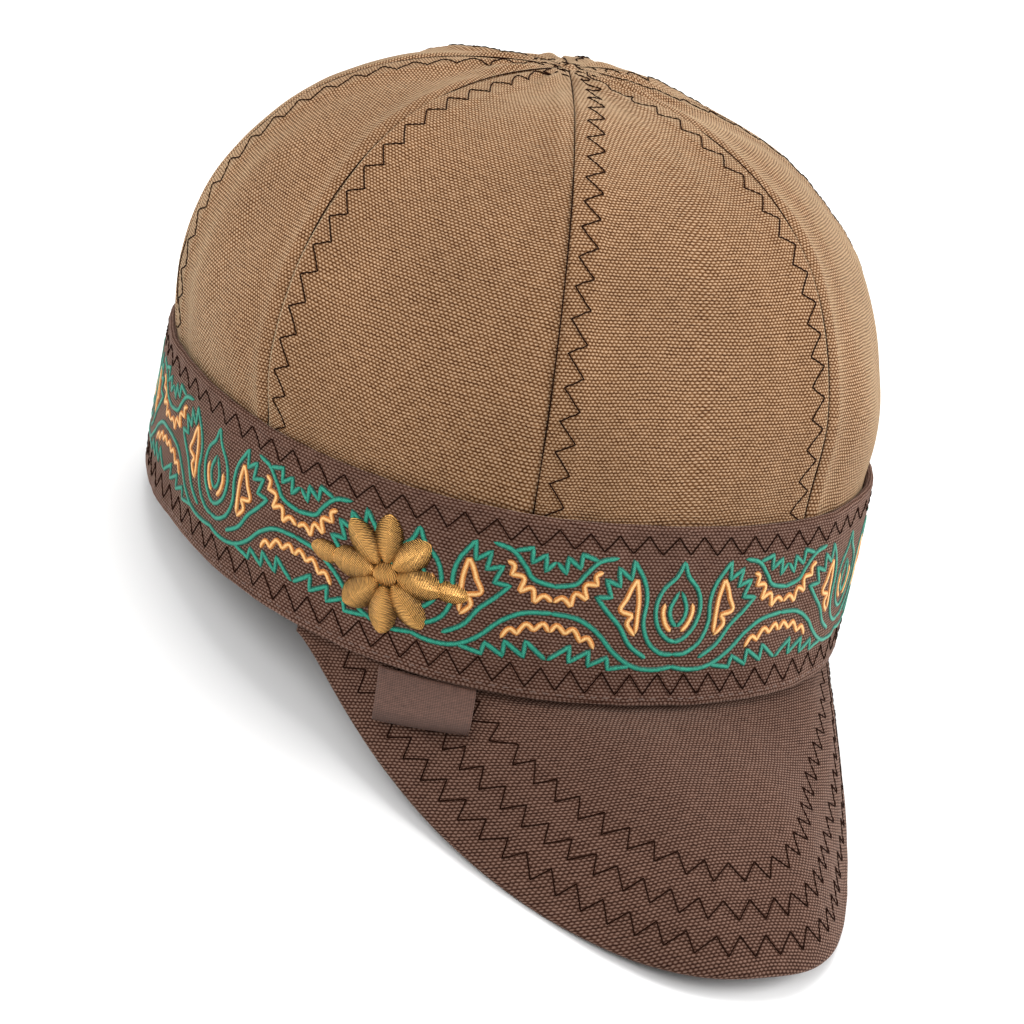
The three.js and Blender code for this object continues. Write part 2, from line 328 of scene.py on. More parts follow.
class Weave:
    """Helpers that make sheets and tubes of cloth and thread with bmesh operators."""

    @staticmethod
    def sheet(
        mesh: bmesh.types.BMesh,
        columns: int,
        rows: int,
        place: Placer,
        chart: Callable[[float, float], tuple[float, float]],
    ) -> dict[bmesh.types.BMVert, tuple[float, float]]:
        """Adds a grid to a mesh and moves it into a sheet.

        Args:
            mesh: The mesh that the grid is added to.
            columns: Faces across.
            rows: Faces along.
            place: Gives a vertex its place in metres from its shares across and along.
            chart: Gives a face corner its place on the flat cloth, in millimetres.

        Returns:
            Each new vertex's shares across and along.
        """
        made = bmesh.ops.create_grid(
            mesh, x_segments=columns, y_segments=rows, size=0.5
        )["verts"]
        shares = {
            vert: (
                round((vert.co.x + 0.5) * columns) / columns,
                round((vert.co.y + 0.5) * rows) / rows,
            )
            for vert in made
        }
        layer = mesh.loops.layers.uv.get(CLOTH_UV) or mesh.loops.layers.uv.new(CLOTH_UV)
        for vert, (across, along) in shares.items():
            flat = chart(across, along)
            for loop in vert.link_loops:
                loop[layer].uv = flat
            vert.co = place(across, along)
        return shares

    @staticmethod
    def tube(
        mesh: bmesh.types.BMesh,
        path: Sequence[tuple[Vector, Vector]],
        half_width: float,
        half_height: float,
        sides: int = 6,
        taper: float = 1.0,
    ) -> None:
        """Adds a closed tube of thread along a path.

        Args:
            mesh: The mesh that the tube is added to.
            path: Points of the middle line and the cloth's normals there, in metres.
            half_width: Half the thread's width along the cloth, in metres.
            half_height: Half its height off the cloth, in metres.
            sides: Faces round the thread.
            taper: How many points at each end the thread takes to come to full size.
        """
        last = len(path) - 1
        lengths = run_lengths([point for point, _ in path])
        rings: list[list[Vector]] = []
        for index, (point, normal) in enumerate(path):
            ahead = path[min(index + 1, last)][0]
            behind = path[max(index - 1, 0)][0]
            tangent = (ahead - behind).normalized()
            across = tangent.cross(normal).normalized()
            up = across.cross(tangent)
            size = math.sqrt(min(min(index, last - index) / taper, 1.0))
            rings.append(
                [
                    point
                    + across * (math.sin(turn) * half_width * size)
                    + up * (math.cos(turn) * half_height * size)
                    for turn in (TURN * side / sides for side in range(sides))
                ]
            )
        girth = math.pi * (half_width + half_height)
        Weave.sheet(
            mesh,
            last,
            sides,
            lambda along, around: rings[round(along * last)][round(around * sides) % sides],
            lambda along, around: (lengths[round(along * last)] / MM, around * girth / MM),
        )

    @staticmethod
    def emboss(
        mesh: bmesh.types.BMesh,
        shares: dict[bmesh.types.BMVert, tuple[float, float]],
        relief: Callable[[float, float, Vector], float],
    ) -> None:
        """Raises a sheet off itself.

        Args:
            mesh: The mesh that the sheet is in.
            shares: The sheet's vertices with their shares across and along.
            relief: Gives the height, in millimetres, at two shares and a place in metres.
        """
        mesh.normal_update()
        outward = {vert: vert.normal.copy() for vert in shares}
        for vert, (across, along) in shares.items():
            vert.co += outward[vert] * (relief(across, along, vert.co) * MM)

    @staticmethod
    def thicken(mesh: bmesh.types.BMesh, wall: float) -> None:
        """Gives an open sheet its wall, in millimetres, on the inner side.

        The operator makes the rim's faces in another order on each run, so they are
        sorted by their corners.
        """
        skins = 2 * len(mesh.faces)
        bmesh.ops.solidify(mesh, geom=mesh.faces[:], thickness=wall * MM)
        mesh.faces.index_update()
        rim = [face for face in mesh.faces if face.index >= skins]
        rim.sort(key=lambda face: [tuple(vert.co) for vert in face.verts])
        for index, face in enumerate(rim, skins):
            face.index = index
        mesh.faces.sort()

    @staticmethod
    def into_scene(
        mesh: bmesh.types.BMesh, name: str, material: bpy.types.Material
    ) -> bpy.types.Object:
        """Adds a mesh to the scene as an object, and frees it."""
        data = bpy.data.meshes.new(name)
        mesh.to_mesh(data)
        mesh.free()
        data.materials.append(material)
        return add_object(name, data)

    @staticmethod
    def finish(
        mesh: bmesh.types.BMesh,
        name: str,
        finish: "Finish",
        slot: str,
        wall: float | None = None,
    ) -> bpy.types.Object:
        """Closes a mesh and turns it into a piece that rides on the cap.

        Args:
            mesh: The mesh, in metres, which is freed.
            name: The piece's plain name.
            finish: Its finish.
            slot: The record's material slot; not used.
            wall: The wall that an open sheet gets on its inner side, in millimetres, or
                None for a mesh whose edges meet.

        Returns:
            The piece.
        """
        if wall is None:
            bmesh.ops.remove_doubles(mesh, verts=mesh.verts[:], dist=MERGE)
            bmesh.ops.dissolve_degenerate(mesh, edges=mesh.edges[:], dist=MERGE)
        else:
            Weave.thicken(mesh, wall)
        bmesh.ops.recalc_face_normals(mesh, faces=mesh.faces[:])
        piece = Weave.into_scene(mesh, name, finish.material())
        faces = piece.data.polygons
        faces.foreach_set("use_smooth", [True] * len(faces))
        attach(piece, "root")
        LOG.info("%s: %d faces", name, len(faces))
        return piece


class ClothTree:
    """Finished cloth that threads are laid on."""

    def __init__(self, *pieces: bpy.types.Object) -> None:
        """Takes in the cloth of one or more pieces."""
        vertices: list[Vector] = []
        faces: list[tuple[int, ...]] = []
        for piece in pieces:
            first = len(vertices)
            vertices += [vert.co.copy() for vert in piece.data.vertices]
            faces += [
                tuple(first + index for index in face.vertices)
                for face in piece.data.polygons
            ]
        self.tree = BVHTree.FromPolygons(vertices, faces)

    def lay(self, point: Vector, lift: float) -> tuple[Vector, Vector]:
        """The point on the cloth nearest to another, lifted off it, and the normal there."""
        near, normal, _, _ = self.tree.find_nearest(point)
        return near + normal * lift, normal


@dataclass(frozen=True)
class Zigzag:
    """A row of multi-step zigzag stitches, in millimetres."""

    pitch: float = 8.1
    half_width: float = 2.4
    lean: float = 0.34
    steps: int = 3
    thread: float = 0.19
    lift: float = 0.17
    sink: float = 0.06
    wander: float = 0.14
    uneven: float = 0.03

    def sew(
        self,
        mesh: bmesh.types.BMesh,
        line: Sequence[Vector],
        across: Callable[[int], Vector],
        cloth: ClothTree,
        rng: random.Random,
        widths: Sequence[float] | None = None,
    ) -> None:
        """Sews one row along a line.

        Args:
            mesh: The mesh that the thread is added to.
            line: Points of the row's middle, in metres.
            across: Gives the direction across the row at a point's index.
            cloth: What the thread lies on.
            rng: Seeded source of the small unevenness of real sewing.
            widths: Share of the full width at each point, or None for the full width.
        """
        lengths = run_lengths(line)

        def corner(distance: float, side: float) -> Vector:
            index = 0
            while index < len(lengths) - 2 and lengths[index + 1] < distance:
                index += 1
            span = max(lengths[index + 1] - lengths[index], 1e-9)
            share = (distance - lengths[index]) / span
            middle = line[index].lerp(line[index + 1], share)
            reach = self.half_width * (widths[index] if widths else 1.0)
            reach += rng.uniform(-self.wander, self.wander)
            return middle + across(index) * (side * reach * MM)

        corners = []
        distance = rng.uniform(0.1, 0.6) * self.pitch * MM
        side = -1.0
        while distance < lengths[-1]:
            corners.append(corner(distance, side))
            leg = self.lean if side < 0 else 1 - self.lean
            distance += self.pitch * MM * (leg + rng.uniform(-self.uneven, self.uneven))
            side = -side
        path: list[tuple[Vector, Vector]] = []
        for here, there in zip(corners, corners[1:]):
            for step in range(self.steps):
                for share, lift in (
                    (0.0, -self.sink),
                    (0.16, self.lift * 0.4),
                    (0.5, self.lift),
                    (0.84, self.lift * 0.4),
                ):
                    point = here.lerp(there, (step + share) / self.steps)
                    path.append(cloth.lay(point, lift * MM))
        if len(path) > 3:
            path.append(cloth.lay(corners[-1], -self.sink * MM))
            Weave.tube(mesh, path, self.thread * MM, self.thread * MM)


class Signal:
    """A node's output that Python's own operators work on."""

    def __init__(self, painter: "Painter", socket: bpy.types.NodeSocket) -> None:
        """Wraps one output socket of the painter's node tree."""
        self.painter = painter
        self.socket = socket

    def _math(self, operation: str, *values: "Signal | float") -> "Signal":
        """Adds one Math node."""
        return self.painter.node(
            "ShaderNodeMath", {"operation": operation}, dict(enumerate(values))
        )

    def __add__(self, other: "Signal | float") -> "Signal":
        """This signal and another added."""
        return self._math("ADD", self, other)

    def __sub__(self, other: "Signal | float") -> "Signal":
        """This signal less another."""
        return self._math("SUBTRACT", self, other)

    def __mul__(self, other: "Signal | float") -> "Signal":
        """This signal times another."""
        return self._math("MULTIPLY", self, other)

    __radd__, __rmul__ = __add__, __mul__

    def cos(self) -> "Signal":
        """Cosine of this signal in radians."""
        return self._math("COSINE", self)

    def ramp(self, low: float, high: float) -> "Signal":
        """Smooth step of this signal from 0 at low to 1 at high."""
        return self.painter.node(
            "ShaderNodeMapRange",
            {"interpolation_type": "SMOOTHSTEP"},
            {0: self, 1: low, 2: high, 3: 0.0, 4: 1.0},
        )


class Painter:
    """One material and the nodes that are added to it."""

    def __init__(self, name: str) -> None:
        """Starts a material with an empty Principled shader."""
        self.material = bpy.data.materials.new(name)
        self.material.use_nodes = True
        self.tree = self.material.node_tree
        self.tree.nodes.clear()
        self.shader = self.tree.nodes.new("ShaderNodeBsdfPrincipled")
        output = self.tree.nodes.new("ShaderNodeOutputMaterial")
        self.tree.links.new(self.shader.outputs["BSDF"], output.inputs["Surface"])

    def feed(
        self,
        socket: bpy.types.NodeSocket,
        value: "Signal | float | Sequence[float]",
    ) -> None:
        """Links a signal to a socket, or sets the socket to a value."""
        if isinstance(value, Signal):
            self.tree.links.new(value.socket, socket)
        elif isinstance(value, (int, float)) or len(value) == len(socket.default_value):
            socket.default_value = value
        else:
            socket.default_value = (*value, 1.0)

    def node(
        self,
        kind: str,
        settings: dict[str, object],
        inputs: "dict[int | str, Signal | float | Sequence[float]]",
        output: int | str = 0,
    ) -> Signal:
        """Adds any node.

        Args:
            kind: The node's type.
            settings: The node's own settings, set before its inputs.
            inputs: Values or signals by the index or name of its inputs.
            output: Index or name of the output that is wanted.

        Returns:
            That output.
        """
        made = self.tree.nodes.new(kind)
        for key, value in settings.items():
            if key == "stops":
                elements = made.color_ramp.elements
                elements.remove(elements[1])
                elements[0].position, elements[0].color = value[0][0], (*value[0][1], 1)
                for place, colour in value[1:]:
                    elements.new(place).color = (*colour, 1)
            else:
                setattr(made, key, value)
        for key, value in inputs.items():
            self.feed(made.inputs[key], value)
        return Signal(self, made.outputs[output])

    def cloth_place(self) -> tuple[Signal, Signal, Signal]:
        """The place on the flat cloth in millimetres: the vector, its u and its v."""
        flat = self.node("ShaderNodeUVMap", {"uv_map": CLOTH_UV}, {})
        across = self.node("ShaderNodeSeparateXYZ", {}, {0: flat}, 0)
        along = self.node("ShaderNodeSeparateXYZ", {}, {0: flat}, 1)
        return flat, across, along

    def noise(self, place: Signal, scale: float, detail: float = 2.0) -> Signal:
        """Noise from 0 to 1 at a place, with a scale in waves a unit."""
        return self.node(
            "ShaderNodeTexNoise",
            {"noise_dimensions": "3D"},
            {"Vector": place, "Scale": scale, "Detail": detail},
        )

    def stretched(self, place: Signal, across: float, along: float) -> Signal:
        """A place with its two directions scaled apart."""
        return self.node(
            "ShaderNodeVectorMath",
            {"operation": "MULTIPLY"},
            {0: place, 1: (across, along, 1.0)},
        )

    def colours(self, value: Signal, stops: list[tuple[float, Colour]]) -> Signal:
        """A colour ramp over a value."""
        return self.node("ShaderNodeValToRGB", {"stops": stops}, {0: value})

    def blend(
        self, share: Signal | float, below: Signal | Colour, above: Signal | Colour
    ) -> Signal:
        """Two colours mixed by a share."""
        return self.node(
            "ShaderNodeMix",
            {"data_type": "RGBA"},
            {0: share, 6: below, 7: above},
            2,
        )

    def shade(self, colour: Signal, share: Signal) -> Signal:
        """A colour darkened or lightened by a value round 1."""
        return self.node(
            "ShaderNodeVectorMath", {"operation": "SCALE"}, {0: colour, "Scale": share}
        )

    def relief(self, height: Signal, depth: float, strength: float = 1.0) -> None:
        """Lets a height from 0 to 1 bump the surface by a depth in metres."""
        normal = self.node(
            "ShaderNodeBump",
            {},
            {"Height": height, "Distance": depth, "Strength": strength},
        )
        self.feed(self.shader.inputs["Normal"], normal)

    def dress(self, **values: "Signal | float | Colour") -> bpy.types.Material:
        """Sets the shader's own sockets by name, with _ for a space, and ends the material."""
        for key, value in values.items():
            self.feed(self.shader.inputs[key.replace("_", " ")], value)
        return self.material


@dataclass(frozen=True)
class CanvasFinish:
    """Cotton duck canvas in a plain weave, with sizes in millimetres."""

    name: str
    # low, middle and high are the colours of the gaps, slopes and tops of the yarns; the dark
    # gaps are partly painted shade
    low: Colour
    middle: Colour
    high: Colour
    bloom: Colour
    yarn_pitch: float = 1.15
    row_pitch: float = 0.78
    wander: float = 0.55
    level: float = 0.49
    yarn_share: float = 0.3
    row_share: float = 0.22
    grain_share: float = 0.36
    slub_share: float = 0.4
    mottle: float = 0.32
    depth: float = 0.0003
    roughness: float = 0.9
    sheen: float = 0.6
    gloss: float = 0.1

    def material(self) -> bpy.types.Material:
        """Builds the material."""
        painter = Painter(self.name)
        flat, across, along = painter.cloth_place()
        drift = painter.noise(flat, 0.22, 2.0) - 0.5
        lean = painter.noise(flat, 0.05, 1.0) - 0.5
        u = across + drift * self.wander + lean * 0.8
        v = along + drift * self.wander - lean * 1.2
        yarns = (u * (TURN / self.yarn_pitch)).cos()
        yarns = yarns * (v * (math.pi / self.row_pitch)).cos()
        rows = (v * (TURN / self.row_pitch)).cos()
        slub = painter.noise(painter.stretched(flat, 0.28, 1.3), 1.0, 3.0)
        grain = painter.noise(flat, 2.4, 2.0)
        height = yarns * self.yarn_share + rows * self.row_share + self.level
        height = height + (grain - 0.5) * self.grain_share
        height = height + (slub - 0.5) * self.slub_share
        # Painted shade: the yarn tops are painted lighter and the gaps between yarns darker,
        # from the height that also bumps the cloth, so this is the weave's own pattern with
        # painted shade in its recesses
        cloth = painter.colours(
            height, [(0.14, self.low), (0.42, self.middle), (0.82, self.high)]
        )
        patches = painter.noise(flat, 0.035, 3.0)
        tone = 1.0 + (patches - 0.5) * self.mottle + (slub - 0.5) * 0.2
        painter.relief(height, self.depth, 0.8)
        return painter.dress(
            Base_Color=painter.shade(cloth, tone),
            Roughness=self.roughness,
            Sheen_Weight=self.sheen,
            Sheen_Roughness=0.28,
            Sheen_Tint=self.bloom,
            Specular_IOR_Level=self.gloss,
        )


@dataclass(frozen=True)
class ThreadFinish:
    """Twisted or satin-laid thread, with painted highlight and painted shade, with sizes in
    millimetres.
    """

    name: str
    low: Colour
    high: Colour
    strand: float = 0.42
    slant: float = 0.9
    depth: float = 0.00012
    roughness: float = 0.5
    metallic: float = 0.0
    # girth is the period round the thread of its painted highlight on top and painted shade on
    # its sides, shadow is how strong that is, and contrast is how much strand crests are
    # painted lighter than the grooves between them
    girth: float = 0.0
    shadow: float = 0.32
    gloss: float = 0.5
    contrast: float = 0.5

    def material(self) -> bpy.types.Material:
        """Builds the material."""
        painter = Painter(self.name)
        flat, along, around = painter.cloth_place()
        uneven = painter.noise(flat, 0.9, 2.0) - 0.5
        strands = along + around * self.slant + uneven * 0.35
        height = (strands * (TURN / self.strand)).cos() * 0.5 + 0.5
        tone = painter.noise(painter.stretched(flat, 2.2, 0.5), 1.0, 2.0)
        # Painted shade: strand crests lighter and the grooves between strands darker, mixed
        # with random tone
        share = (height - 0.5) * self.contrast + (tone - 0.5) * 0.9 + 0.47
        # Painted highlight along the top of the thread and painted shade down its sides, from
        # the way round it
        if self.girth:
            share = share + (around * (TURN / self.girth)).cos() * self.shadow
        share = share.ramp(0.0, 1.0)
        painter.relief(height, self.depth)
        return painter.dress(
            Base_Color=painter.blend(share, self.low, self.high),
            Roughness=self.roughness,
            Metallic=self.metallic,
            Specular_IOR_Level=self.gloss,
        )


@dataclass(frozen=True)
class RibbonFinish:
    """Woven satin ribbon with fine ribs and painted shade at its fold, with sizes in
    millimetres.
    """

    name: str
    low: Colour
    high: Colour
    rib: float = 0.34
    fold: float = 31.5
    depth: float = 0.00006
    roughness: float = 0.46

    def material(self) -> bpy.types.Material:
        """Builds the material."""
        painter = Painter(self.name)
        flat, across, along = painter.cloth_place()
        ribs = (along * (TURN / self.rib)).cos() * 0.5 + 0.5
        cross = (across * (TURN / (self.rib * 1.7))).cos() * 0.5 + 0.5
        fine = painter.noise(painter.stretched(flat, 0.5, 3.0), 1.0, 3.0)
        # Painted shade at the fold: the colour is pulled towards the dark colour near the fold
        # line, most at the fold and not at all from about 3.7 mm away
        off_fold = along - self.fold
        fold_shade = (off_fold * off_fold).ramp(0.0, 14.0) * 0.6 + 0.4
        share = (ribs * 0.35 + cross * 0.2 + fine * 0.6).ramp(0.2, 0.95) * fold_shade
        painter.relief(ribs * 0.6 + cross * 0.4, self.depth)
        return painter.dress(
            Base_Color=painter.blend(share, self.low, self.high),
            Roughness=self.roughness,
            Sheen_Weight=0.05,
            Specular_IOR_Level=0.25,
        )


class Finish(Enum):
    """The cap's finishes."""

    CROWN = CanvasFinish(
        "khaki_duck",
        display(48, 16, 0),
        display(115, 79, 48),
        display(179, 147, 117),
        display(240, 222, 184),
    )
    BAND = CanvasFinish(
        "brown_band_duck",
        display(32, 8, 2),
        display(79, 52, 40),
        display(122, 97, 86),
        display(170, 146, 132),
    )
    BILL = CanvasFinish(
        "brown_bill_duck",
        display(24, 5, 1),
        display(70, 45, 34),
        display(119, 93, 81),
        display(176, 152, 138),
    )
    DARK_THREAD = ThreadFinish(
        "dark_thread", display(20, 5, 1), display(42, 19, 9), roughness=0.8, gloss=0.04
    )
    BROWN_THREAD = ThreadFinish(
        "brown_thread", display(74, 54, 46), display(150, 122, 110), roughness=0.6
    )
    # The teal, amber and gold threads get a painted highlight on top and painted shade at
    # their sides; the gold also has strongly painted strand crests and grooves
    TEAL_THREAD = ThreadFinish(
        "teal_thread",
        display(2, 56, 48),
        display(44, 158, 130),
        roughness=0.5,
        girth=1.08,
        gloss=0.3,
    )
    AMBER_THREAD = ThreadFinish(
        "amber_thread",
        display(190, 108, 38),
        display(246, 198, 128),
        roughness=0.5,
        girth=1.2,
        shadow=0.5,
        gloss=0.3,
    )
    GOLD_THREAD = ThreadFinish(
        "gold_satin_stitch",
        display(48, 25, 8),
        display(240, 180, 100),
        strand=0.4,
        slant=0.5,
        depth=0.00025,
        roughness=0.3,
        metallic=0.7,
        girth=7.8,
        shadow=0.24,
        contrast=0.85,
    )
    LABEL = RibbonFinish("satin_ribbon", display(48, 29, 21), display(107, 76, 64))

    def material(self) -> bpy.types.Material:
        """The finish's material, built the first time it is asked for."""
        return bpy.data.materials.get(self.value.name) or self.value.material()


class Crown:
    """Eight canvas panels, lapped and sewn, and the knot of cloth where they meet."""

    places = (
        "front front_left side_left back_left back back_right side_right front_right"
    ).split()
    grain_leans = {"front": -2.5, "front_right": 6.5}
    seam_start = -0.35
    seam_steps = 600
    zigzag_offset = 5.7
    zigzag_end = 5.2
    zigzag_clearance = 2.5
    narrowest_zigzag = 0.35
    groove_end = 1.6
    groove_depth = 0.14
    groove_radius = 0.16
    knot_radius = 5.4
    knot_height = 1.35
    knot_lump = 0.25
    knot_stitches = 24
    stitch_profile = ((0.0, -0.25), (0.15, 0.08), (0.5, 0.2), (0.85, 0.08), (1.0, -0.25))
    stitch_radius = 0.18

    def __init__(self) -> None:
        """Sets out the seams, in degrees."""
        front, side = FORM.front_seam_angle, FORM.side_seam_angle
        half = [-front, front, side, 180 - side, 180 - front]
        self.seams = [*half, 180 + front, 180 + side, 360 - side, 360 - front]
        self.panels: list[bpy.types.Object] = []
        self.cloth: ClothTree | None = None

    def build(self) -> None:
        """Builds the crown's pieces."""
        self.panels = [
            CrownPanel(place, *ends, grain_lean=self.grain_leans.get(place, 0.0)).build()
            for place, ends in zip(self.places, zip(self.seams, self.seams[1:]))
        ]
        self.cloth = ClothTree(*self.panels)
        self.sew_seams()
        self.build_knot()

    def sew_seams(self) -> None:
        """Sews the zigzag beside each seam, and lays a dark thread line sunk in each seam,
        which is both the seam's stitching and painted shade of its groove.
        """
        for index, seam in enumerate(self.seams[:8]):
            side = 1.0 if seam < 0 or seam > 180 else -1.0
            mesh = bmesh.new()
            line, widths, outward = self.seam_line(seam, side * self.zigzag_offset)
            Zigzag().sew(
                mesh,
                line,
                lambda at, s=side, o=outward: o[at] * s,
                self.cloth,
                random.Random(40 + index),
                widths,
            )
            # A dark thread line sunk in the seam: seam stitching and painted shade of the
            # seam's groove
            path = []
            for travel in self.travels(seam, self.groove_end, 90):
                normal = self.raw_normal(seam, travel)
                point = REST.place(FORM.dome_point(math.radians(seam), travel))
                path.append((point - normal * (self.groove_depth * MM), normal))
            radius = self.groove_radius * MM
            Weave.tube(mesh, path, radius, radius, 5)
            name = f"crown_seam_stitching_and_groove_shade_{index + 1}"
            Weave.finish(mesh, name, Finish.DARK_THREAD, "crown_canvas")

    def travels(self, seam: float, radius: float, steps: int) -> list[float]:
        """Evenly spread travels from just under the band's edge to a radius at the apex."""
        angle = math.radians(seam)
        top = FORM.travel_at_radius(angle, radius)
        last, start = self.seam_steps, self.seam_start
        fine = [start + (top - start) * step / last for step in range(last + 1)]
        lengths = run_lengths([FORM.dome_point(angle, travel) for travel in fine])
        found, at = [], 0
        for step in range(steps + 1):
            wanted = lengths[-1] * step / steps
            while at < last and lengths[at] < wanted:
                at += 1
            found.append(fine[at])
        return found

    @staticmethod
    def raw_normal(seam: float, travel: float) -> Vector:
        """The dome's outward direction at a seam."""
        angle, step, dome = math.radians(seam), 0.004, FORM.dome_point
        across = dome(angle + step, travel) - dome(angle - step, travel)
        up = dome(angle, min(travel + step, 1.0)) - dome(angle, travel - step)
        return (REST.turn @ across.cross(up)).normalized()

    def seam_line(
        self, seam: float, offset: float
    ) -> tuple[list[Vector], list[float], list[Vector]]:
        """A line beside a seam.

        Args:
            seam: The seam's angle.
            offset: Distance from the seam towards growing angles, in millimetres.

        Returns:
            Its points, the share of the zigzag's full width at each, and the direction
            of growing angles at each.
        """
        line, widths, outward = [], [], []
        angle = math.radians(seam)
        for travel in self.travels(seam, self.zigzag_end, 160):
            reach = FORM.apex_radius(angle, travel)
            turned = angle + offset * smooth(reach, -6.0, 26.0) / reach
            point = FORM.dome_point(turned, travel)
            beyond = FORM.dome_point(turned + 0.01, travel)
            outer = self.raw_normal(seam, travel) * (self.zigzag_clearance * MM)
            line.append(REST.place(point) + outer)
            widths.append(lerp(self.narrowest_zigzag, 1.0, smooth(reach, 4.0, 30.0)))
            outward.append((REST.turn @ (beyond - point)).normalized())
        return line, widths, outward

    def build_knot(self) -> None:
        """Builds the knot of folded cloth at the apex and the stitches that cross it."""
        middle = Vector((0.0, FORM.apex_setback, FORM.band_height + FORM.crown_height))

        def flat(across: float, along: float) -> Vector:
            return ring(across * TURN) * (self.knot_radius * along)

        def place(across: float, reach: float) -> Vector:
            turn = across * TURN
            lobes = 1 + 0.09 * math.sin(3 * turn + 0.6) + 0.06 * math.sin(5 * turn)
            lump = self.knot_lump * noise.noise(ring(turn, 0.4) * (1.6 * reach))
            dome = math.cos(reach * math.pi / 2) ** 0.9
            lift = (self.knot_height + lump) * dome - 0.5 - 0.9 * reach
            return REST.place(middle + flat(across, reach) * lobes + UP * lift)

        mesh = bmesh.new()
        Weave.sheet(mesh, 40, 10, place, lambda across, along: flat(across, along).xy)
        bmesh.ops.remove_doubles(mesh, verts=mesh.verts[:], dist=MERGE)
        bmesh.ops.holes_fill(mesh, edges=mesh.edges[:], sides=0)
        knot = Weave.finish(mesh, "crown_apex_knot", Finish.CROWN, "crown_canvas")
        cloth = ClothTree(*self.panels, knot)
        rng = random.Random(7)
        mesh = bmesh.new()
        for _ in range(self.knot_stitches):
            turn, reach = rng.uniform(0, TURN), 1.2 + 9.5 * rng.random() ** 0.8
            lean, length = rng.uniform(0, TURN), rng.uniform(2.0, 3.6)
            start = middle + ring(turn) * reach
            end = start + ring(lean) * length
            path = []
            for share, lift in self.stitch_profile:
                point = REST.place(start.lerp(end, share) + UP * 1.5)
                path.append(cloth.lay(point, lift * MM))
            Weave.tube(mesh, path, self.stitch_radius * MM, self.stitch_radius * MM)
        Weave.finish(mesh, "crown_apex_stitches", Finish.DARK_THREAD, "crown_canvas")


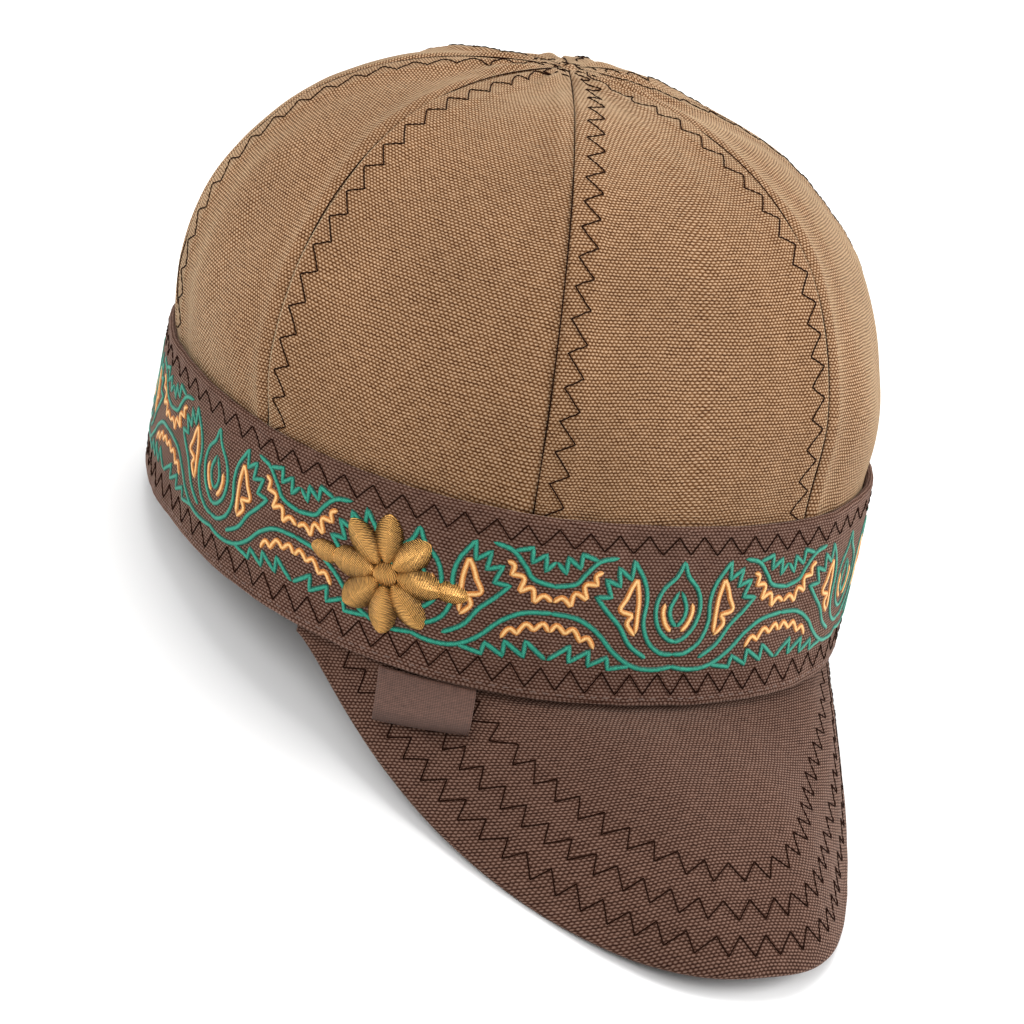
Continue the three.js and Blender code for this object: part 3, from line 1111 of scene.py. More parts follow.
@dataclass
class CrownPanel:
    """One canvas panel between two seams, with its laps and puckers in millimetres.

    A row is a line beside the seam: its distance from it, and how far its relief spreads.
    """

    place: str
    from_seam: float
    to_seam: float
    flatness: float = 0.25
    lap_height: float = 0.42
    lap_width: float = 9.6
    lap_ease: float = 1.3
    fold: float = 0.9
    fold_drop: float = 0.62
    pucker: float = 0.13
    pucker_pitch: float = 8.1
    pucker_row: tuple[float, float] = (5.7, 3.6)
    ridge: float = 0.6
    ridge_row: tuple[float, float] = (3.4, 2.2)
    trough: float = 0.3
    lapped_trough: tuple[float, float] = (15.0, 3.6)
    plain_trough: tuple[float, float] = (10.5, 3.4)
    tuck_dip: float = 0.25
    tuck_row: tuple[float, float] = (0.0, 1.6)
    gather: float = 0.4
    gather_row: tuple[float, float] = (17.0, 15.0)
    gather_turn: float = 15.7
    wave: float = 1.15
    fine_wave: float = 0.16
    columns: int = 66
    rows: int = 112
    climb_steps: int = 900
    tip_radius: float = 0.9
    grain_lean: float = 0.0

    def laps(self) -> tuple[bool, bool]:
        """Whether this panel is the upper one at its first and at its second seam."""
        return (
            self.from_seam < 0 or self.from_seam > 180,
            0 < self.to_seam < 180,
        )

    def build(self) -> bpy.types.Object:
        """Builds the panel."""
        start, end = math.radians(self.from_seam), math.radians(self.to_seam)
        middle = (start + end) / 2
        travels, climbs = self.climb(middle)
        grid = [self.row(start, end, middle, travel) for travel in travels]
        widths = [run_lengths(row)[-1] for row in grid]

        def place(across: float, along: float) -> Vector:
            row = grid[round(along * self.rows)]
            return REST.place(row[round(across * self.columns)])

        def chart(across: float, along: float) -> tuple[float, float]:
            row = round(along * self.rows)
            return self.chart((across - 0.5) * widths[row], climbs[row])

        mesh = bmesh.new()
        shares = Weave.sheet(mesh, self.columns, self.rows, place, chart)

        def relief(across: float, along: float, at: Vector) -> float:
            row = round(along * self.rows)
            left = climbs[-1] - climbs[row]
            return self.relief(across, widths[row], climbs[row], left, at)

        Weave.emboss(mesh, shares, relief)
        name = f"crown_panel_{self.place}"
        piece = Weave.finish(
            mesh, f"{name}_cloth", Finish.CROWN, "crown_canvas", FORM.crown_wall
        )
        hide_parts(name)
        length = (climbs[-1] - climbs[0]) * MM
        area = sum(
            (widths[row] + widths[row + 1]) / 2 * (climbs[row + 1] - climbs[row])
            for row in range(self.rows)
        )
        min(area * MM * MM, max(widths) * MM * length)
        return piece

    def chart(self, across: float, climb: float) -> tuple[float, float]:
        """Place on the flat cloth of a point of the panel, in millimetres."""
        lean = math.radians(self.grain_lean)
        return (
            across * math.cos(lean) - climb * math.sin(lean) + 300,
            climb * math.cos(lean) + across * math.sin(lean) + 60,
        )

    def climb(self, middle: float) -> tuple[list[float], list[float]]:
        """Travels of the panel's rows and how far up the cloth each lies, in millimetres."""
        top = FORM.travel_at_radius(middle, self.tip_radius)
        steps = self.climb_steps
        fine = [-1 + (top + 1) * step / steps for step in range(steps + 1)]
        lengths = run_lengths([FORM.dome_point(middle, travel) for travel in fine])
        travels, climbs, at = [], [], 0
        for row in range(self.rows + 1):
            wanted = lengths[-1] * row / self.rows
            while at < steps - 1 and lengths[at + 1] < wanted:
                at += 1
            share = (wanted - lengths[at]) / max(lengths[at + 1] - lengths[at], 1e-9)
            travels.append(lerp(fine[at], fine[at + 1], min(share, 1.0)))
            climbs.append(wanted)
        return travels, climbs

    def row(
        self, start: float, end: float, middle: float, travel: float
    ) -> list[Vector]:
        """Points of one row across the panel, in millimetres."""
        top = FORM.travel_at_radius(middle, self.tip_radius)

        def travel_of(angle: float) -> float:
            if travel <= 0:
                return travel
            own = FORM.travel_at_radius(angle, self.tip_radius) / top
            return travel * lerp(1.0, own, smooth(travel / top, 0.8, 1.0))

        reach = FORM.apex_radius(start, travel_of(start))
        margin = FORM.cloth_gap / 2 / reach
        first, last = start + margin, end - margin
        left = FORM.dome_point(first, travel_of(first))
        right = FORM.dome_point(last, travel_of(last))
        flat = self.flatness * smooth(travel, 0.0, 0.3)
        points = []
        for column in range(self.columns + 1):
            share = column / self.columns
            angle = lerp(first, last, share)
            point = FORM.dome_point(angle, travel_of(angle))
            points.append(point.lerp(left.lerp(right, share), flat))
        return points

    def relief(
        self, across: float, width: float, climb: float, left: float, at: Vector
    ) -> float:
        """Height of the cloth over the plain dome: laps, folds, puckers and soft waves.

        Args:
            across: Share of the way across the panel.
            width: The panel's width there, in millimetres.
            climb: Distance up the cloth from its tucked end, in millimetres.
            left: Distance left to the tip, in millimetres.
            at: The place itself, in metres.

        Returns:
            The height in millimetres.
        """
        raised = 0.0
        room = smooth(width, 2.0, 26.0)
        drop_room = lerp(0.3, 1.0, room)
        for lapped, share in zip(self.laps(), (across, 1 - across)):
            distance = share * width
            if lapped:
                low, high = self.lap_width - self.lap_ease, self.lap_width + self.lap_ease
                edge = min(distance / self.fold, 1.0)
                drop = 1 - math.sqrt(1 - (1 - edge) ** 2)
                ripple = math.sin(climb * TURN / self.pucker_pitch + 1.3 * across)
                raised += self.lap_height * (1 - smooth(distance, low, high)) * room
                raised -= self.fold_drop * drop * drop_room
                raised += self.pucker * ripple * room * bell(distance, *self.pucker_row)
                raised -= self.trough * room * bell(distance, *self.lapped_trough)
            else:
                raised += self.ridge * bell(distance, *self.ridge_row) * room
                raised -= self.trough * bell(distance, *self.plain_trough) * room
                raised -= self.tuck_dip * bell(distance, *self.tuck_row) * drop_room
        wide = noise.noise(at * 38.0)
        fine = noise.noise(at * 115.0 + Vector((4.0, 1.0, 2.0)))
        body = smooth(climb, 9.0, 22.0) * smooth(width, 6.0, 30.0)
        gather = bell(left, *self.gather_row) * smooth(width, 4.0, 14.0)
        raised += self.gather * gather * math.sin(across * self.gather_turn + len(self.place))
        return raised + body * (self.wave * wide + self.fine_wave * fine)


class Band:
    """The folded strip of canvas round the head, its stitching and its embroidery."""

    columns = 480
    outer_rows = 40
    fold_rows = 5
    inner_rows = 12
    repeats = 9
    steps = 3600
    wave = 0.55
    fine_wave = 0.12
    pucker = 0.12
    pucker_dip = 0.22
    pucker_rows = ((FORM.band_height - 4.4, 3.0, 8.0), (5.6, 3.4, 7.8))
    hem_height = 2.35
    hem_end = 3.4
    hem_stitch = (2.1, 2.5)
    hem_gap = (0.8, 1.1)
    hem_profile = ((0.0, -0.12), (0.25, 0.02), (0.75, 0.02), (1.0, -0.12))
    hem_thread = 0.13
    satin_height = 0.36

    def __init__(self) -> None:
        """Measures the way round the band at half its height."""
        angles = (TURN * step / self.steps for step in range(self.steps + 1))
        self.lengths = run_lengths(
            [FORM.band_point(angle, FORM.band_height / 2) for angle in angles]
        )
        self.girth = self.lengths[-1]
        self.cloth: ClothTree | None = None

    def angle_at(self, distance: float) -> float:
        """The angle at a distance round the band from the forehead, in millimetres."""
        wanted = distance % self.girth
        low = bisect.bisect_right(self.lengths, wanted, 1, self.steps) - 1
        share = (wanted - self.lengths[low]) / (self.lengths[low + 1] - self.lengths[low])
        return TURN * (low + share) / self.steps

    def distance_at(self, angle: float) -> float:
        """The distance round the band at an angle, in millimetres."""
        place = (angle / TURN % 1.0) * self.steps
        low = int(place)
        return lerp(self.lengths[low], self.lengths[low + 1], place - low)

    def point(self, distance: float, height: float, lift: float = 0.0) -> Vector:
        """A point of the band's outer face in the row, in metres."""
        return REST.place(FORM.band_point(self.angle_at(distance), height, -lift))

    def section(self) -> list[tuple[float, float, float]]:
        """The strip's section as height, inset and distance along the cloth."""
        wall, tall, fold = FORM.band_wall, FORM.band_height, FORM.band_wall / 2
        outer = [
            (lerp(fold, tall - fold, row / self.outer_rows), 0.0)
            for row in range(self.outer_rows + 1)
        ]
        inner = [
            (lerp(tall - fold, fold, row / self.inner_rows), wall)
            for row in range(self.inner_rows + 1)
        ]
        turns = [math.pi * row / self.fold_rows for row in range(1, self.fold_rows)]
        arcs = [(fold * math.sin(turn), fold * math.cos(turn)) for turn in turns]
        top = [(tall - fold + up, fold - inwards) for up, inwards in arcs]
        foot = [(fold - down, wall - fold + inwards) for down, inwards in arcs]
        points = [*outer, *top, *inner, *foot, outer[0]]
        run, section = 0.0, [(*points[0], 0.0)]
        for here, there in zip(points, points[1:]):
            run += math.dist(here, there)
            section.append((*there, run))
        return section

    def relief(self, height: float, distance: float) -> float:
        """Height of the outer face over the plain strip, in millimetres."""
        around = ring(TURN * distance / self.girth)
        waves = noise.noise(around * 7.0 + UP * (height * 0.035))
        fine = noise.noise(around * 32.0 + UP * (height * 0.12))
        raised = self.wave * waves + self.fine_wave * fine
        for row, spread, pitch in self.pucker_rows:
            ripple = self.pucker * math.sin(TURN * distance / pitch) - self.pucker_dip
            raised += bell(height, row, spread) * ripple
        return raised

    def build(self) -> None:
        """Builds the band's pieces."""
        section = self.section()
        rows = len(section) - 1
        angles = [
            self.angle_at(self.girth * column / self.columns)
            for column in range(self.columns)
        ]

        def place(across: float, along: float) -> Vector:
            column = round(across * self.columns)
            height, inset, _ = section[round(along * rows)]
            distance = self.girth * column / self.columns
            raised = self.relief(height, distance % self.girth)
            return REST.place(
                FORM.band_point(angles[column % self.columns], height, inset - raised)
            )

        def chart(across: float, along: float) -> tuple[float, float]:
            return across * self.girth, section[round(along * rows)][2]

        mesh = bmesh.new()
        Weave.sheet(mesh, self.columns, rows, place, chart)
        piece = Weave.finish(mesh, "band_cloth", Finish.BAND, "band_canvas")
        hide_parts("band")
        self.girth * MM
        self.cloth = ClothTree(piece)
        self.sew_edges()
        self.sew_hem()
        self.embroider()

    def sew_edges(self) -> None:
        """Sews the zigzags near the band's two edges."""
        tall = FORM.band_height
        for name, height, zigzag, seed in (
            ("upper", tall - 4.3, Zigzag(7.95, 2.15, 0.47), 11),
            ("lower", 5.9, Zigzag(7.75, 2.6, 0.42), 12),
        ):
            line = [
                self.point(self.girth * (0.5 + step / 720), height, 1.0)
                for step in range(728)
            ]
            up = (REST.turn @ UP).normalized()
            mesh = bmesh.new()
            zigzag.sew(mesh, line, lambda at: up, self.cloth, random.Random(seed))
            name = f"band_{name}_stitching"
            Weave.finish(mesh, name, Finish.DARK_THREAD, "band_canvas")

    def sew_hem(self) -> None:
        """Sews the fine straight stitches just above the band's lower edge."""
        rng = random.Random(31)
        mesh = bmesh.new()
        distance = 0.0
        while distance < self.girth - self.hem_end:
            length = rng.uniform(*self.hem_stitch)
            path = []
            for share, lift in self.hem_profile:
                height = self.hem_height + rng.uniform(-0.06, 0.06)
                point = self.point(distance + share * length, height, 1.0)
                path.append(self.cloth.lay(point, lift * MM))
            Weave.tube(mesh, path, self.hem_thread * MM, self.hem_thread * MM, 5)
            distance += length + rng.uniform(*self.hem_gap)
        Weave.finish(mesh, "band_hem_stitching", Finish.BROWN_THREAD, "band_canvas")

    def embroider(self) -> None:
        """Sews the band's repeated bud, leaf and arch in two colours of thread."""
        width = self.girth / self.repeats
        pattern = EmbroideryPattern()
        for name, lines, finish, half in (
            ("teal", pattern.teal, Finish.TEAL_THREAD, 0.7),
            ("amber", pattern.amber, Finish.AMBER_THREAD, 0.76),
        ):
            mesh = bmesh.new()
            for repeat in range(self.repeats):
                for mirrored in (-1, 1):
                    for line in lines:
                        scaled = [
                            (repeat * width + mirrored * x * width / pattern.width, y)
                            for x, y in line
                        ]
                        self.lay_line(mesh, scaled, half)
            Weave.finish(mesh, f"band_embroidery_{name}", finish, "gold_thread")

    def lay_line(
        self,
        mesh: bmesh.types.BMesh,
        line: Sequence[tuple[float, float]],
        half: float,
    ) -> None:
        """Lays one line of satin stitches on the band.

        Args:
            mesh: The mesh that the line is added to.
            line: Points round and up the band, in millimetres.
            half: Half the line's width, in millimetres.
        """
        path = [
            self.cloth.lay(self.point(x, y, 0.4), -0.02 * MM)
            for x, y in EmbroideryPattern.smoothed(line)
        ]
        Weave.tube(mesh, path, half * MM, self.satin_height * MM, 8, 2.0)


@dataclass(frozen=True)
class EmbroideryPattern:
    """Half of the band's repeat: a bud, a toothed leaf, an arch and a running stem.

    Points are millimetres from the repeat's middle and up from the band's lower edge. A
    point given twice is a sharp corner.
    """

    width: float = 66.6
    teal: tuple = (
        (
            (0, 36.4), (0, 36.4), (1.6, 32.6), (4.9, 29.2), (6.3, 24.8), (5.2, 20.2),
            (2.4, 17.2), (-0.5, 16.2),
        ),
        (
            (-0.5, 13.2), (3.6, 13.6), (7.4, 16.4), (9.3, 21), (9, 26.4), (10.2, 31),
            (13.6, 36), (13.6, 36), (14, 31.6), (14, 31.6), (17.6, 34.2), (17.6, 34.2),
            (16.8, 29.8), (16.8, 29.8), (20.6, 31.2), (20.6, 31.2), (18.8, 27), (18.8, 27),
            (22.6, 26.8), (22.6, 26.8), (19.4, 23.4), (15.8, 20), (12.4, 15.4),
            (7.4, 12.2),
        ),
        (
            (-0.5, 10.2), (5.4, 9.4), (11.4, 10.4), (16.6, 13.6), (21.2, 18), (26.6, 21),
            (33.8, 21.8),
        ),
        (
            (11.4, 10.4), (17.4, 9.4), (17.4, 9.4), (18, 12.2), (18, 12.2), (22.6, 9.8),
            (22.6, 9.8), (22.8, 13.4), (22.8, 13.4), (27.6, 10.4), (27.6, 10.4),
            (27.8, 14.2), (27.8, 14.2), (33.3, 10.2),
        ),
        (
            (17.6, 36.6), (22.6, 35.4), (26, 32), (28.2, 29.4), (33.8, 28.2),
        ),
        (
            (22.6, 35.4), (27.2, 36.8), (27.2, 36.8), (27.4, 33.4), (27.4, 33.4),
            (30.6, 35.6), (30.6, 35.6), (30.8, 31.8), (30.8, 31.8), (33.3, 34.4),
        ),
        (
            (0, 20), (1.8, 22), (2.2, 25), (0, 29.4), (0, 29.4),
        ),
    )
    amber: tuple = (
        (
            (11.2, 17.6), (13.8, 20.6), (12.6, 22.8), (12.6, 22.8), (16, 24), (14.6, 27),
            (14.6, 27), (13.6, 29.6), (12.4, 31.6), (12.4, 31.6), (11.4, 27), (11.2, 22.4),
            (11.2, 17.6),
        ),
        (
            (33.3, 24.4), (31, 25.8), (28.8, 24), (28.8, 24), (28, 27.2), (25, 26),
            (25, 26), (25.8, 29.4), (22.8, 29.8), (22.8, 29.8), (23.2, 32), (21, 33),
        ),
        (
            (33.3, 17), (31.6, 19), (29.4, 17.2), (29.4, 17.2), (27.4, 18.4), (25.4, 15.8),
            (25.4, 15.8), (23.4, 16.6), (21.4, 13.6),
        ),
        (
            (3.9, 26), (4.2, 23.6), (3.2, 20.8), (1.4, 18.8),
        ),
    )

    @staticmethod
    def smoothed(
        line: Sequence[tuple[float, float]], spacing: float = 0.45
    ) -> list[tuple[float, float]]:
        """A smooth line through points, sharp where a point is given twice.

        Args:
            line: The points.
            spacing: Distance between the points of the result.

        Returns:
            Evenly spread points.
        """
        arcs: list[list[Vector]] = [[]]
        for x, y in line:
            point = Vector((x, y))
            if arcs[-1] and (arcs[-1][-1] - point).length < 1e-6:
                arcs.append([])
            arcs[-1].append(point)
        fine: list[Vector] = []
        for arc in arcs:
            if len(arc) < 2:
                continue
            ends = [2 * arc[0] - arc[1], *arc, 2 * arc[-1] - arc[-2]]
            for a, b, c, d in zip(ends, ends[1:], ends[2:], ends[3:]):
                for step in range(12):
                    t = step / 12
                    fine.append(
                        0.5
                        * (
                            2 * b
                            + (c - a) * t
                            + (2 * a - 5 * b + 4 * c - d) * t * t
                            + (3 * b - a - 3 * c + d) * t**3
                        )
                    )
            fine.append(arc[-1].copy())
        result, carried = [fine[0]], 0.0
        for here, there in zip(fine, fine[1:]):
            carried += (there - here).length
            if carried >= spacing:
                result.append(there)
                carried = 0.0
        return [(point.x, point.y) for point in result]


class Bill:
    """The soft curved bill: two layers of canvas with three rows of zigzag."""

    columns = 190
    blade_rows = 76
    flange_rows = 4
    edge_rows = 8
    edge_steps = 1500
    rows_from_edge = (7.2, 15.7, 25.2)
    row_steps = 360
    halvings = 16
    channel = 0.36
    channel_spread = 3.3
    fine_wave = 0.18
    fullness = 0.1
    flat_size = (222.0, 112.0)
    drawn_in = 0.5
    drawn_width = 0.62

    def __init__(self) -> None:
        """Measures the bill's edge."""
        shares = (-1 + 2 * step / self.edge_steps for step in range(self.edge_steps + 1))
        self.near_edge = nearest_tree(
            [FORM.bill_point(share, FORM.bill_run(share), 0.0) for share in shares]
        )
        self.cloth: ClothTree | None = None

    @staticmethod
    def drawing(share: float, least: float) -> float:
        """A factor from 1 down to its least where the rows draw in."""
        return lerp(1.0, least, smooth(share, 0.25, 0.8))

    def from_edge(self, point: Vector, share: float) -> float:
        """Distance of a point from the bill's edge, in millimetres of the sewn rows.

        The rows draw in towards the edge on the wearer's left.
        """
        return self.near_edge.find(point)[2] / self.drawing(share, self.drawn_in)

    def stations(self) -> list[tuple[float, float]]:
        """Rows round the sheet as a place along it and a side from 1, above, to -1, below.

        A place from -1 to 0 is the flange inside the band, and from 0 to 1 the blade.
        """
        down = [(row / self.flange_rows - 1, 1.0) for row in range(self.flange_rows)]
        down += [((row / self.blade_rows) ** 1.25, 1.0) for row in range(self.blade_rows)]
        around = [
            (1.0, math.cos(math.pi * row / self.edge_rows))
            for row in range(self.edge_rows + 1)
        ]
        back = [(place, -1.0) for place, _ in reversed(down)]
        return [*down, *around, *back, down[0]]

    def point(self, share: float, place: float, side: float) -> Vector:
        """A point of the bill's surface, in millimetres on the rim."""
        half = FORM.bill_wall / 2
        narrow = math.sqrt(max(1 - smooth(abs(share), 0.985, 1.0) ** 2, 0.0))
        lift = half * side * narrow
        if place < 0:
            angle = math.radians(share * FORM.bill_half_angle)
            inset = FORM.inside_band + half - lift
            return FORM.band_point(angle, -place * FORM.bill_tuck, inset)
        run = FORM.bill_run(share)
        bulge = half * math.sqrt(max(1 - side * side, 0.0)) if place >= 1 else 0.0
        return FORM.bill_point(share, place * (run - half) + bulge, lift)

    def relief(self, point: Vector, share: float, place: float, side: float) -> float:
        """Height of the cloth over the plain bill, in millimetres."""
        if place < 0.04:
            return 0.0
        distance = self.from_edge(point, share)
        channels = sum(bell(distance, row, self.channel_spread) for row in self.rows_from_edge)
        waves = noise.noise(point * 0.034 + Vector((3.0, 0.0, 0.0)))
        fine = noise.noise(point * 0.12)
        edge = smooth(distance, 0.0, 4.0)
        sewn = side * (self.fullness - self.channel * channels * edge)
        return smooth(place, 0.04, 0.16) * (sewn + waves * edge + self.fine_wave * fine)

    def build(self) -> None:
        """Builds the bill's pieces."""
        stations = self.stations()
        rows = len(stations) - 1
        root = self.flat_root()

        def at(across: float, along: float) -> tuple[float, float, float]:
            return 1 - 2 * across, *stations[round(along * rows)]

        mesh = bmesh.new()
        shares = Weave.sheet(
            mesh,
            self.columns,
            rows,
            lambda across, along: REST.place(self.point(*at(across, along))),
            lambda across, along: self.chart(root, *at(across, along)),
        )

        def relief(across: float, along: float, _: Vector) -> float:
            share, place, side = at(across, along)
            return side * self.relief(self.point(share, place, side), share, place, side)

        Weave.emboss(mesh, shares, relief)
        piece = Weave.finish(mesh, "bill_cloth", Finish.BILL, "bill_canvas")
        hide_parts("bill")
        tuple(size * MM for size in self.flat_size)
        self.area()
        self.cloth = ClothTree(piece)
        self.sew_rows()

    @staticmethod
    def turn_at(share: float) -> float:
        """How far the bill's run has turned from straight ahead on the flat cloth."""
        splay = lerp(FORM.bill_front_splay, FORM.bill_side_splay, share**2)
        return splay * share * math.radians(FORM.bill_half_angle)

    def flat_root(self) -> list[tuple[float, float]]:
        """The bill's sewn edge on the flat cloth at even shares, in millimetres."""
        steps = self.columns
        shares = [-1 + 2 * step / steps for step in range(steps + 1)]
        places = [FORM.bill_point(share, 0.0, 0.0) for share in shares]
        flat = [(0.0, 0.0)]
        for index in range(steps):
            run = (places[index + 1] - places[index]).length
            turn = self.turn_at((shares[index] + shares[index + 1]) / 2)
            x, y = flat[-1]
            flat.append((x + run * math.cos(turn), y - run * math.sin(turn)))
        return flat

    def chart(
        self, root: Sequence[tuple[float, float]], share: float, place: float, side: float
    ) -> tuple[float, float]:
        """Place on the flat cloth of a point of the bill, in millimetres."""
        x, y = root[round((share + 1) / 2 * self.columns)]
        half, length = FORM.bill_wall / 2, FORM.bill_run(share)
        run = place * (length if place > 0 else FORM.bill_tuck)
        if place >= 1:
            run = length + math.acos(side) * half
        elif side < 0:
            run = 2 * length + math.pi * half - run
        turn = self.turn_at(share)
        return x + run * math.sin(turn) + 50, y + run * math.cos(turn) + 150

    def area(self) -> float:
        """Flat area of the bill with its flange, in square metres."""
        total, steps = 0.0, 200
        for step in range(steps):
            share = -1 + 2 * (step + 0.5) / steps
            run = FORM.bill_run(share)
            ahead = FORM.bill_point(share + 1 / steps, run / 2, 0.0)
            behind = FORM.bill_point(share - 1 / steps, run / 2, 0.0)
            total += (run + FORM.bill_tuck) * (ahead - behind).length
        return total * MM * MM

    def row_line(self, distance: float) -> list[tuple[Vector, float]]:
        """Points of the bill's upper face at a distance from its edge, and the row's width."""
        line = []
        for step in range(self.row_steps + 1):
            share = -0.995 + 1.99 * step / self.row_steps
            run = FORM.bill_run(share)
            low, high = 0.0, run
            if self.from_edge(FORM.bill_point(share, 0.0, 0.0), share) < distance:
                continue
            for _ in range(self.halvings):
                middle = (low + high) / 2
                if self.from_edge(FORM.bill_point(share, middle, 0.0), share) > distance:
                    low = middle
                else:
                    high = middle
            point = FORM.bill_point(share, low, FORM.bill_wall / 2 + 0.4)
            line.append((point, self.drawing(share, self.drawn_width)))
        return line

    def sew_rows(self) -> None:
        """Sews the three rows of zigzag that follow the bill's edge."""
        for index, distance in enumerate(self.rows_from_edge):
            line = self.row_line(distance)
            outer = nearest_tree([point for point, _ in self.row_line(distance - 1.5)])
            across = [
                (REST.turn @ (Vector(outer.find(point)[0]) - point)).normalized()
                for point, _ in line
            ]
            mesh = bmesh.new()
            Zigzag(7.0, 2.45, 0.42).sew(
                mesh,
                [REST.place(point) for point, _ in line],
                lambda at, a=across: a[at],
                self.cloth,
                random.Random(70 + index),
                [width for _, width in line],
            )
            name = f"bill_stitching_row_{index + 1}"
            Weave.finish(mesh, name, Finish.DARK_THREAD, "bill_canvas")


class SideLabel:
    """The bare folded ribbon that hangs from the band over the bill."""

    width = 24.4
    drop = 11.5
    angle = -37.1
    lean = -0.0022
    start = 1.6
    wall = 1.2
    ribbon = 0.42
    columns = 44
    rows = 20
    fold_rows = 3
    share_step = 0.002
    tuck = 0.9
    stand_off = 1.3
    bow = 0.25
    swell = 0.12
    flatness = 0.55

    def down_and_side(self, along: float) -> tuple[float, float]:
        """How far down the label a place of the ribbon is, and on which side of the fold."""
        row, flat_rows = round(along * self.rows * 2), self.rows - self.fold_rows
        if row <= flat_rows:
            return row / flat_rows, 1.0
        if row >= self.rows + self.fold_rows:
            return (self.rows * 2 - row) / flat_rows, -1.0
        turn = (row - flat_rows) / (2 * self.fold_rows) * math.pi
        return 1.0 + 0.05 * math.sin(turn), math.cos(turn)

    def place(self, across: float, along: float) -> Vector:
        """A point of the ribbon's middle in the row, in metres."""
        down, side = self.down_and_side(along)
        run = self.start + FORM.band_wall + self.drop * down * 0.97
        run -= self.tuck * (1 - min(down, 1))
        centre = self.angle / FORM.bill_half_angle + self.lean * run
        ahead = FORM.bill_point(centre + self.share_step, run, 0)
        behind = FORM.bill_point(centre - self.share_step, run, 0)
        half_share = self.width * self.share_step / (ahead - behind).length
        share = centre + half_share * (1 - 2 * across)
        bow = (self.bow * math.sin(math.pi * across) + self.stand_off) * down
        swell = self.swell * noise.noise(Vector((across * 3, down * 1.5, side)))
        lift = (FORM.bill_wall + self.wall) / 2 + FORM.cloth_gap
        lift += side * (self.wall / 2 * lerp(self.flatness, 1.0, down) + swell)
        return REST.place(FORM.bill_point(share, run, lift + bow))

    def build(self) -> None:
        """Builds the ribbon, folded at its lower end."""
        mesh = bmesh.new()
        Weave.sheet(
            mesh,
            self.columns,
            self.rows * 2,
            self.place,
            lambda across, along: (across * self.width, along * self.drop * 2 + 20),
        )
        bmesh.ops.recalc_face_normals(mesh, faces=mesh.faces[:])
        piece = Weave.finish(
            mesh, "side_label_ribbon", Finish.LABEL, "label_ribbon", self.ribbon
        )
        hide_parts("side_label")


class Rosette:
    """A flower between two leaves in raised satin stitches."""

    angle = -45.0
    petals = 8
    petal_place = 8.7
    petal_size = (6.09, 3.8, 1.6)
    leaf_place = 16.4
    leaf_size = (4.6, 2.7, 1.1)
    middle_lean = 0.3
    middle_size = (3.4, 3.2, 1.6)
    lift = 0.25
    columns = 26
    rows = 20

    def __init__(self, band: Band) -> None:
        """Finds the rosette's place round the band."""
        self.band = band
        self.middle = band.distance_at(math.radians(self.angle))

    def pad(
        self,
        mesh: bmesh.types.BMesh,
        out: float,
        lean: float,
        size: tuple[float, float, float],
    ) -> None:
        """Adds one raised pad of stitches.

        Args:
            mesh: The mesh that the pad is added to.
            out: How far out from the rosette's middle it lies, in millimetres.
            lean: The turn of its length from the band's, in radians.
            size: Half its length, half its width at the widest, and how high it stands.
        """
        half_length, half_width, relief = size

        def offset(across: float, along: float) -> tuple[float, float, float]:
            reach = 2 * across - 1
            swell = max(1 - abs(reach) ** 2.2, 0.0) ** 0.7
            if along > 0.5:
                return half_length * reach, half_width * swell * (4 * along - 3), -0.05
            over = 1 - 4 * along
            lift = relief * swell**0.6 * (1 - abs(over) ** 1.7) ** 0.75
            return half_length * reach, half_width * swell * over, lift

        def place(across: float, along: float) -> Vector:
            x, y, lift = offset(across, along)
            u = (out + x) * math.cos(lean) - y * math.sin(lean)
            v = (out + x) * math.sin(lean) + y * math.cos(lean)
            height = FORM.band_height / 2 + v
            return self.band.point(self.middle + u, height, self.lift + lift)

        def chart(across: float, along: float) -> tuple[float, float]:
            x, y, _ = offset(across, along)
            # The distance from the pad's middle line is the way round, so the gold thread's
            # painted highlight runs along the middle and its painted shade along the edges
            return x + 40, abs(y)

        Weave.sheet(mesh, self.columns, self.rows, place, chart)

    def build(self) -> None:
        """Builds the petals, leaves and centre."""
        mesh = bmesh.new()
        for petal in range(self.petals):
            self.pad(mesh, self.petal_place, TURN * petal / self.petals, self.petal_size)
        for side in (0.0, math.pi):
            self.pad(mesh, self.leaf_place, side, self.leaf_size)
        self.pad(mesh, 0.0, self.middle_lean, self.middle_size)
        piece = Weave.finish(
            mesh, "band_rosette_stitches", Finish.GOLD_THREAD, "gold_thread"
        )
        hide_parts("band_rosette")


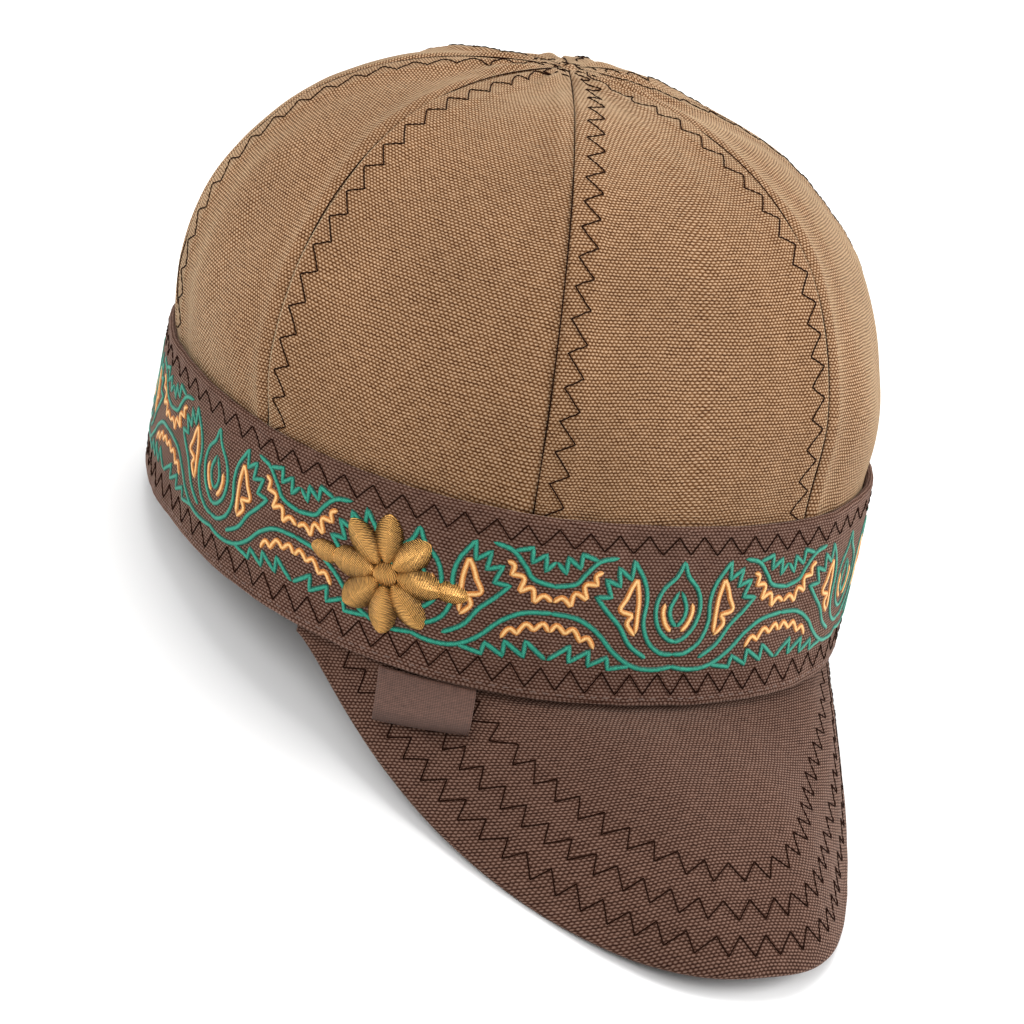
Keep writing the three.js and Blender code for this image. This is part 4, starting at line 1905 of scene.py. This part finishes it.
@dataclass(frozen=True)
class Studio:
    """The pale floor, the soft lights and the camera, sizes in millimetres and degrees."""

    azimuth: float = -31.51469
    elevation: float = 20.87601
    roll: float = 13.11923
    distance: float = 769.644
    focal_pixels: float = 2813.724
    aim_right: float = 6.50174
    aim_up: float = 6.44814
    frame_pixels: int = 1024

    def build(self) -> None:
        """Builds the studio."""
        self.build_camera()
        self.build_floor()
        self.build_lights()

    def build_camera(self) -> None:
        """Sets the camera at the photograph's angle to the cap."""
        turn = Matrix.Rotation(math.radians(self.azimuth), 3, "Z")
        tilt = Matrix.Rotation(math.radians(90 - self.elevation), 3, "X")
        axes = turn @ tilt @ Matrix.Rotation(math.radians(self.roll), 3, "Z")
        place = axes @ Vector((self.aim_right, self.aim_up, self.distance))
        data = bpy.data.cameras.new("photo_camera")
        data.sensor_fit = "HORIZONTAL"
        data.sensor_width = 36.0
        data.lens = 36.0 * self.focal_pixels / self.frame_pixels
        data.clip_start, data.clip_end = 0.02, 30.0
        camera = add_object("photo_camera", data)
        camera.matrix_world = Matrix.Translation(REST.place(place)) @ (
            REST.turn @ axes
        ).to_4x4()
        bpy.context.scene.camera = camera

    def build_floor(self) -> None:
        """Lays the plain pale floor."""
        mesh = bmesh.new()
        bmesh.ops.create_grid(mesh, x_segments=8, y_segments=8, size=6.0)
        painter = Painter("studio_floor")
        place = painter.node("ShaderNodeTexCoord", {}, {}, "Object")
        tone = painter.noise(place, 3.0, 2.0)
        colour = painter.blend(tone, (0.86, 0.86, 0.86), (0.9, 0.9, 0.9))
        material = painter.dress(Base_Color=colour, Roughness=0.8)
        Weave.into_scene(mesh, "studio_floor", material)

    def build_lights(self) -> None:
        """Hangs four large soft lights in a pale room."""
        world = bpy.data.worlds.new("studio")
        world.use_nodes = True
        sky = world.node_tree.nodes["Background"]
        sky.inputs["Color"].default_value = (1.0, 1.0, 1.0, 1.0)
        sky.inputs["Strength"].default_value = 0.62
        bpy.context.scene.world = world
        for name, place, size, power in (
            ("key_light", (-0.9, -0.75, 1.25), 0.9, 7.2),
            ("fill_light", (1.3, -0.5, 0.7), 1.0, 23.5),
            ("top_light", (0.1, 0.5, 1.6), 1.2, 18.0),
            ("side_light", (-1.2, 0.5, 0.8), 1.0, 9.0),
        ):
            data = bpy.data.lights.new(name, "AREA")
            data.shape = "DISK"
            data.size = size
            data.energy = power
            light = add_object(name, data)
            light.location = place
            towards = Vector((0, 0, 0.06)) - Vector(place)
            light.rotation_euler = towards.to_track_quat("-Z", "Y").to_euler()
        bpy.context.scene.view_settings.view_transform = "Standard"


def main() -> None:
    """Builds the studio and every piece of the cap."""
    logging.basicConfig(level=logging.INFO, format="%(message)s")
    Studio().build()
    crown = Crown()
    crown.build()
    band = Band()
    band.build()
    Bill().build()
    SideLabel().build()
    Rosette(band).build()
    bpy.context.view_layer.update()


if __name__ == "__main__":
    main()
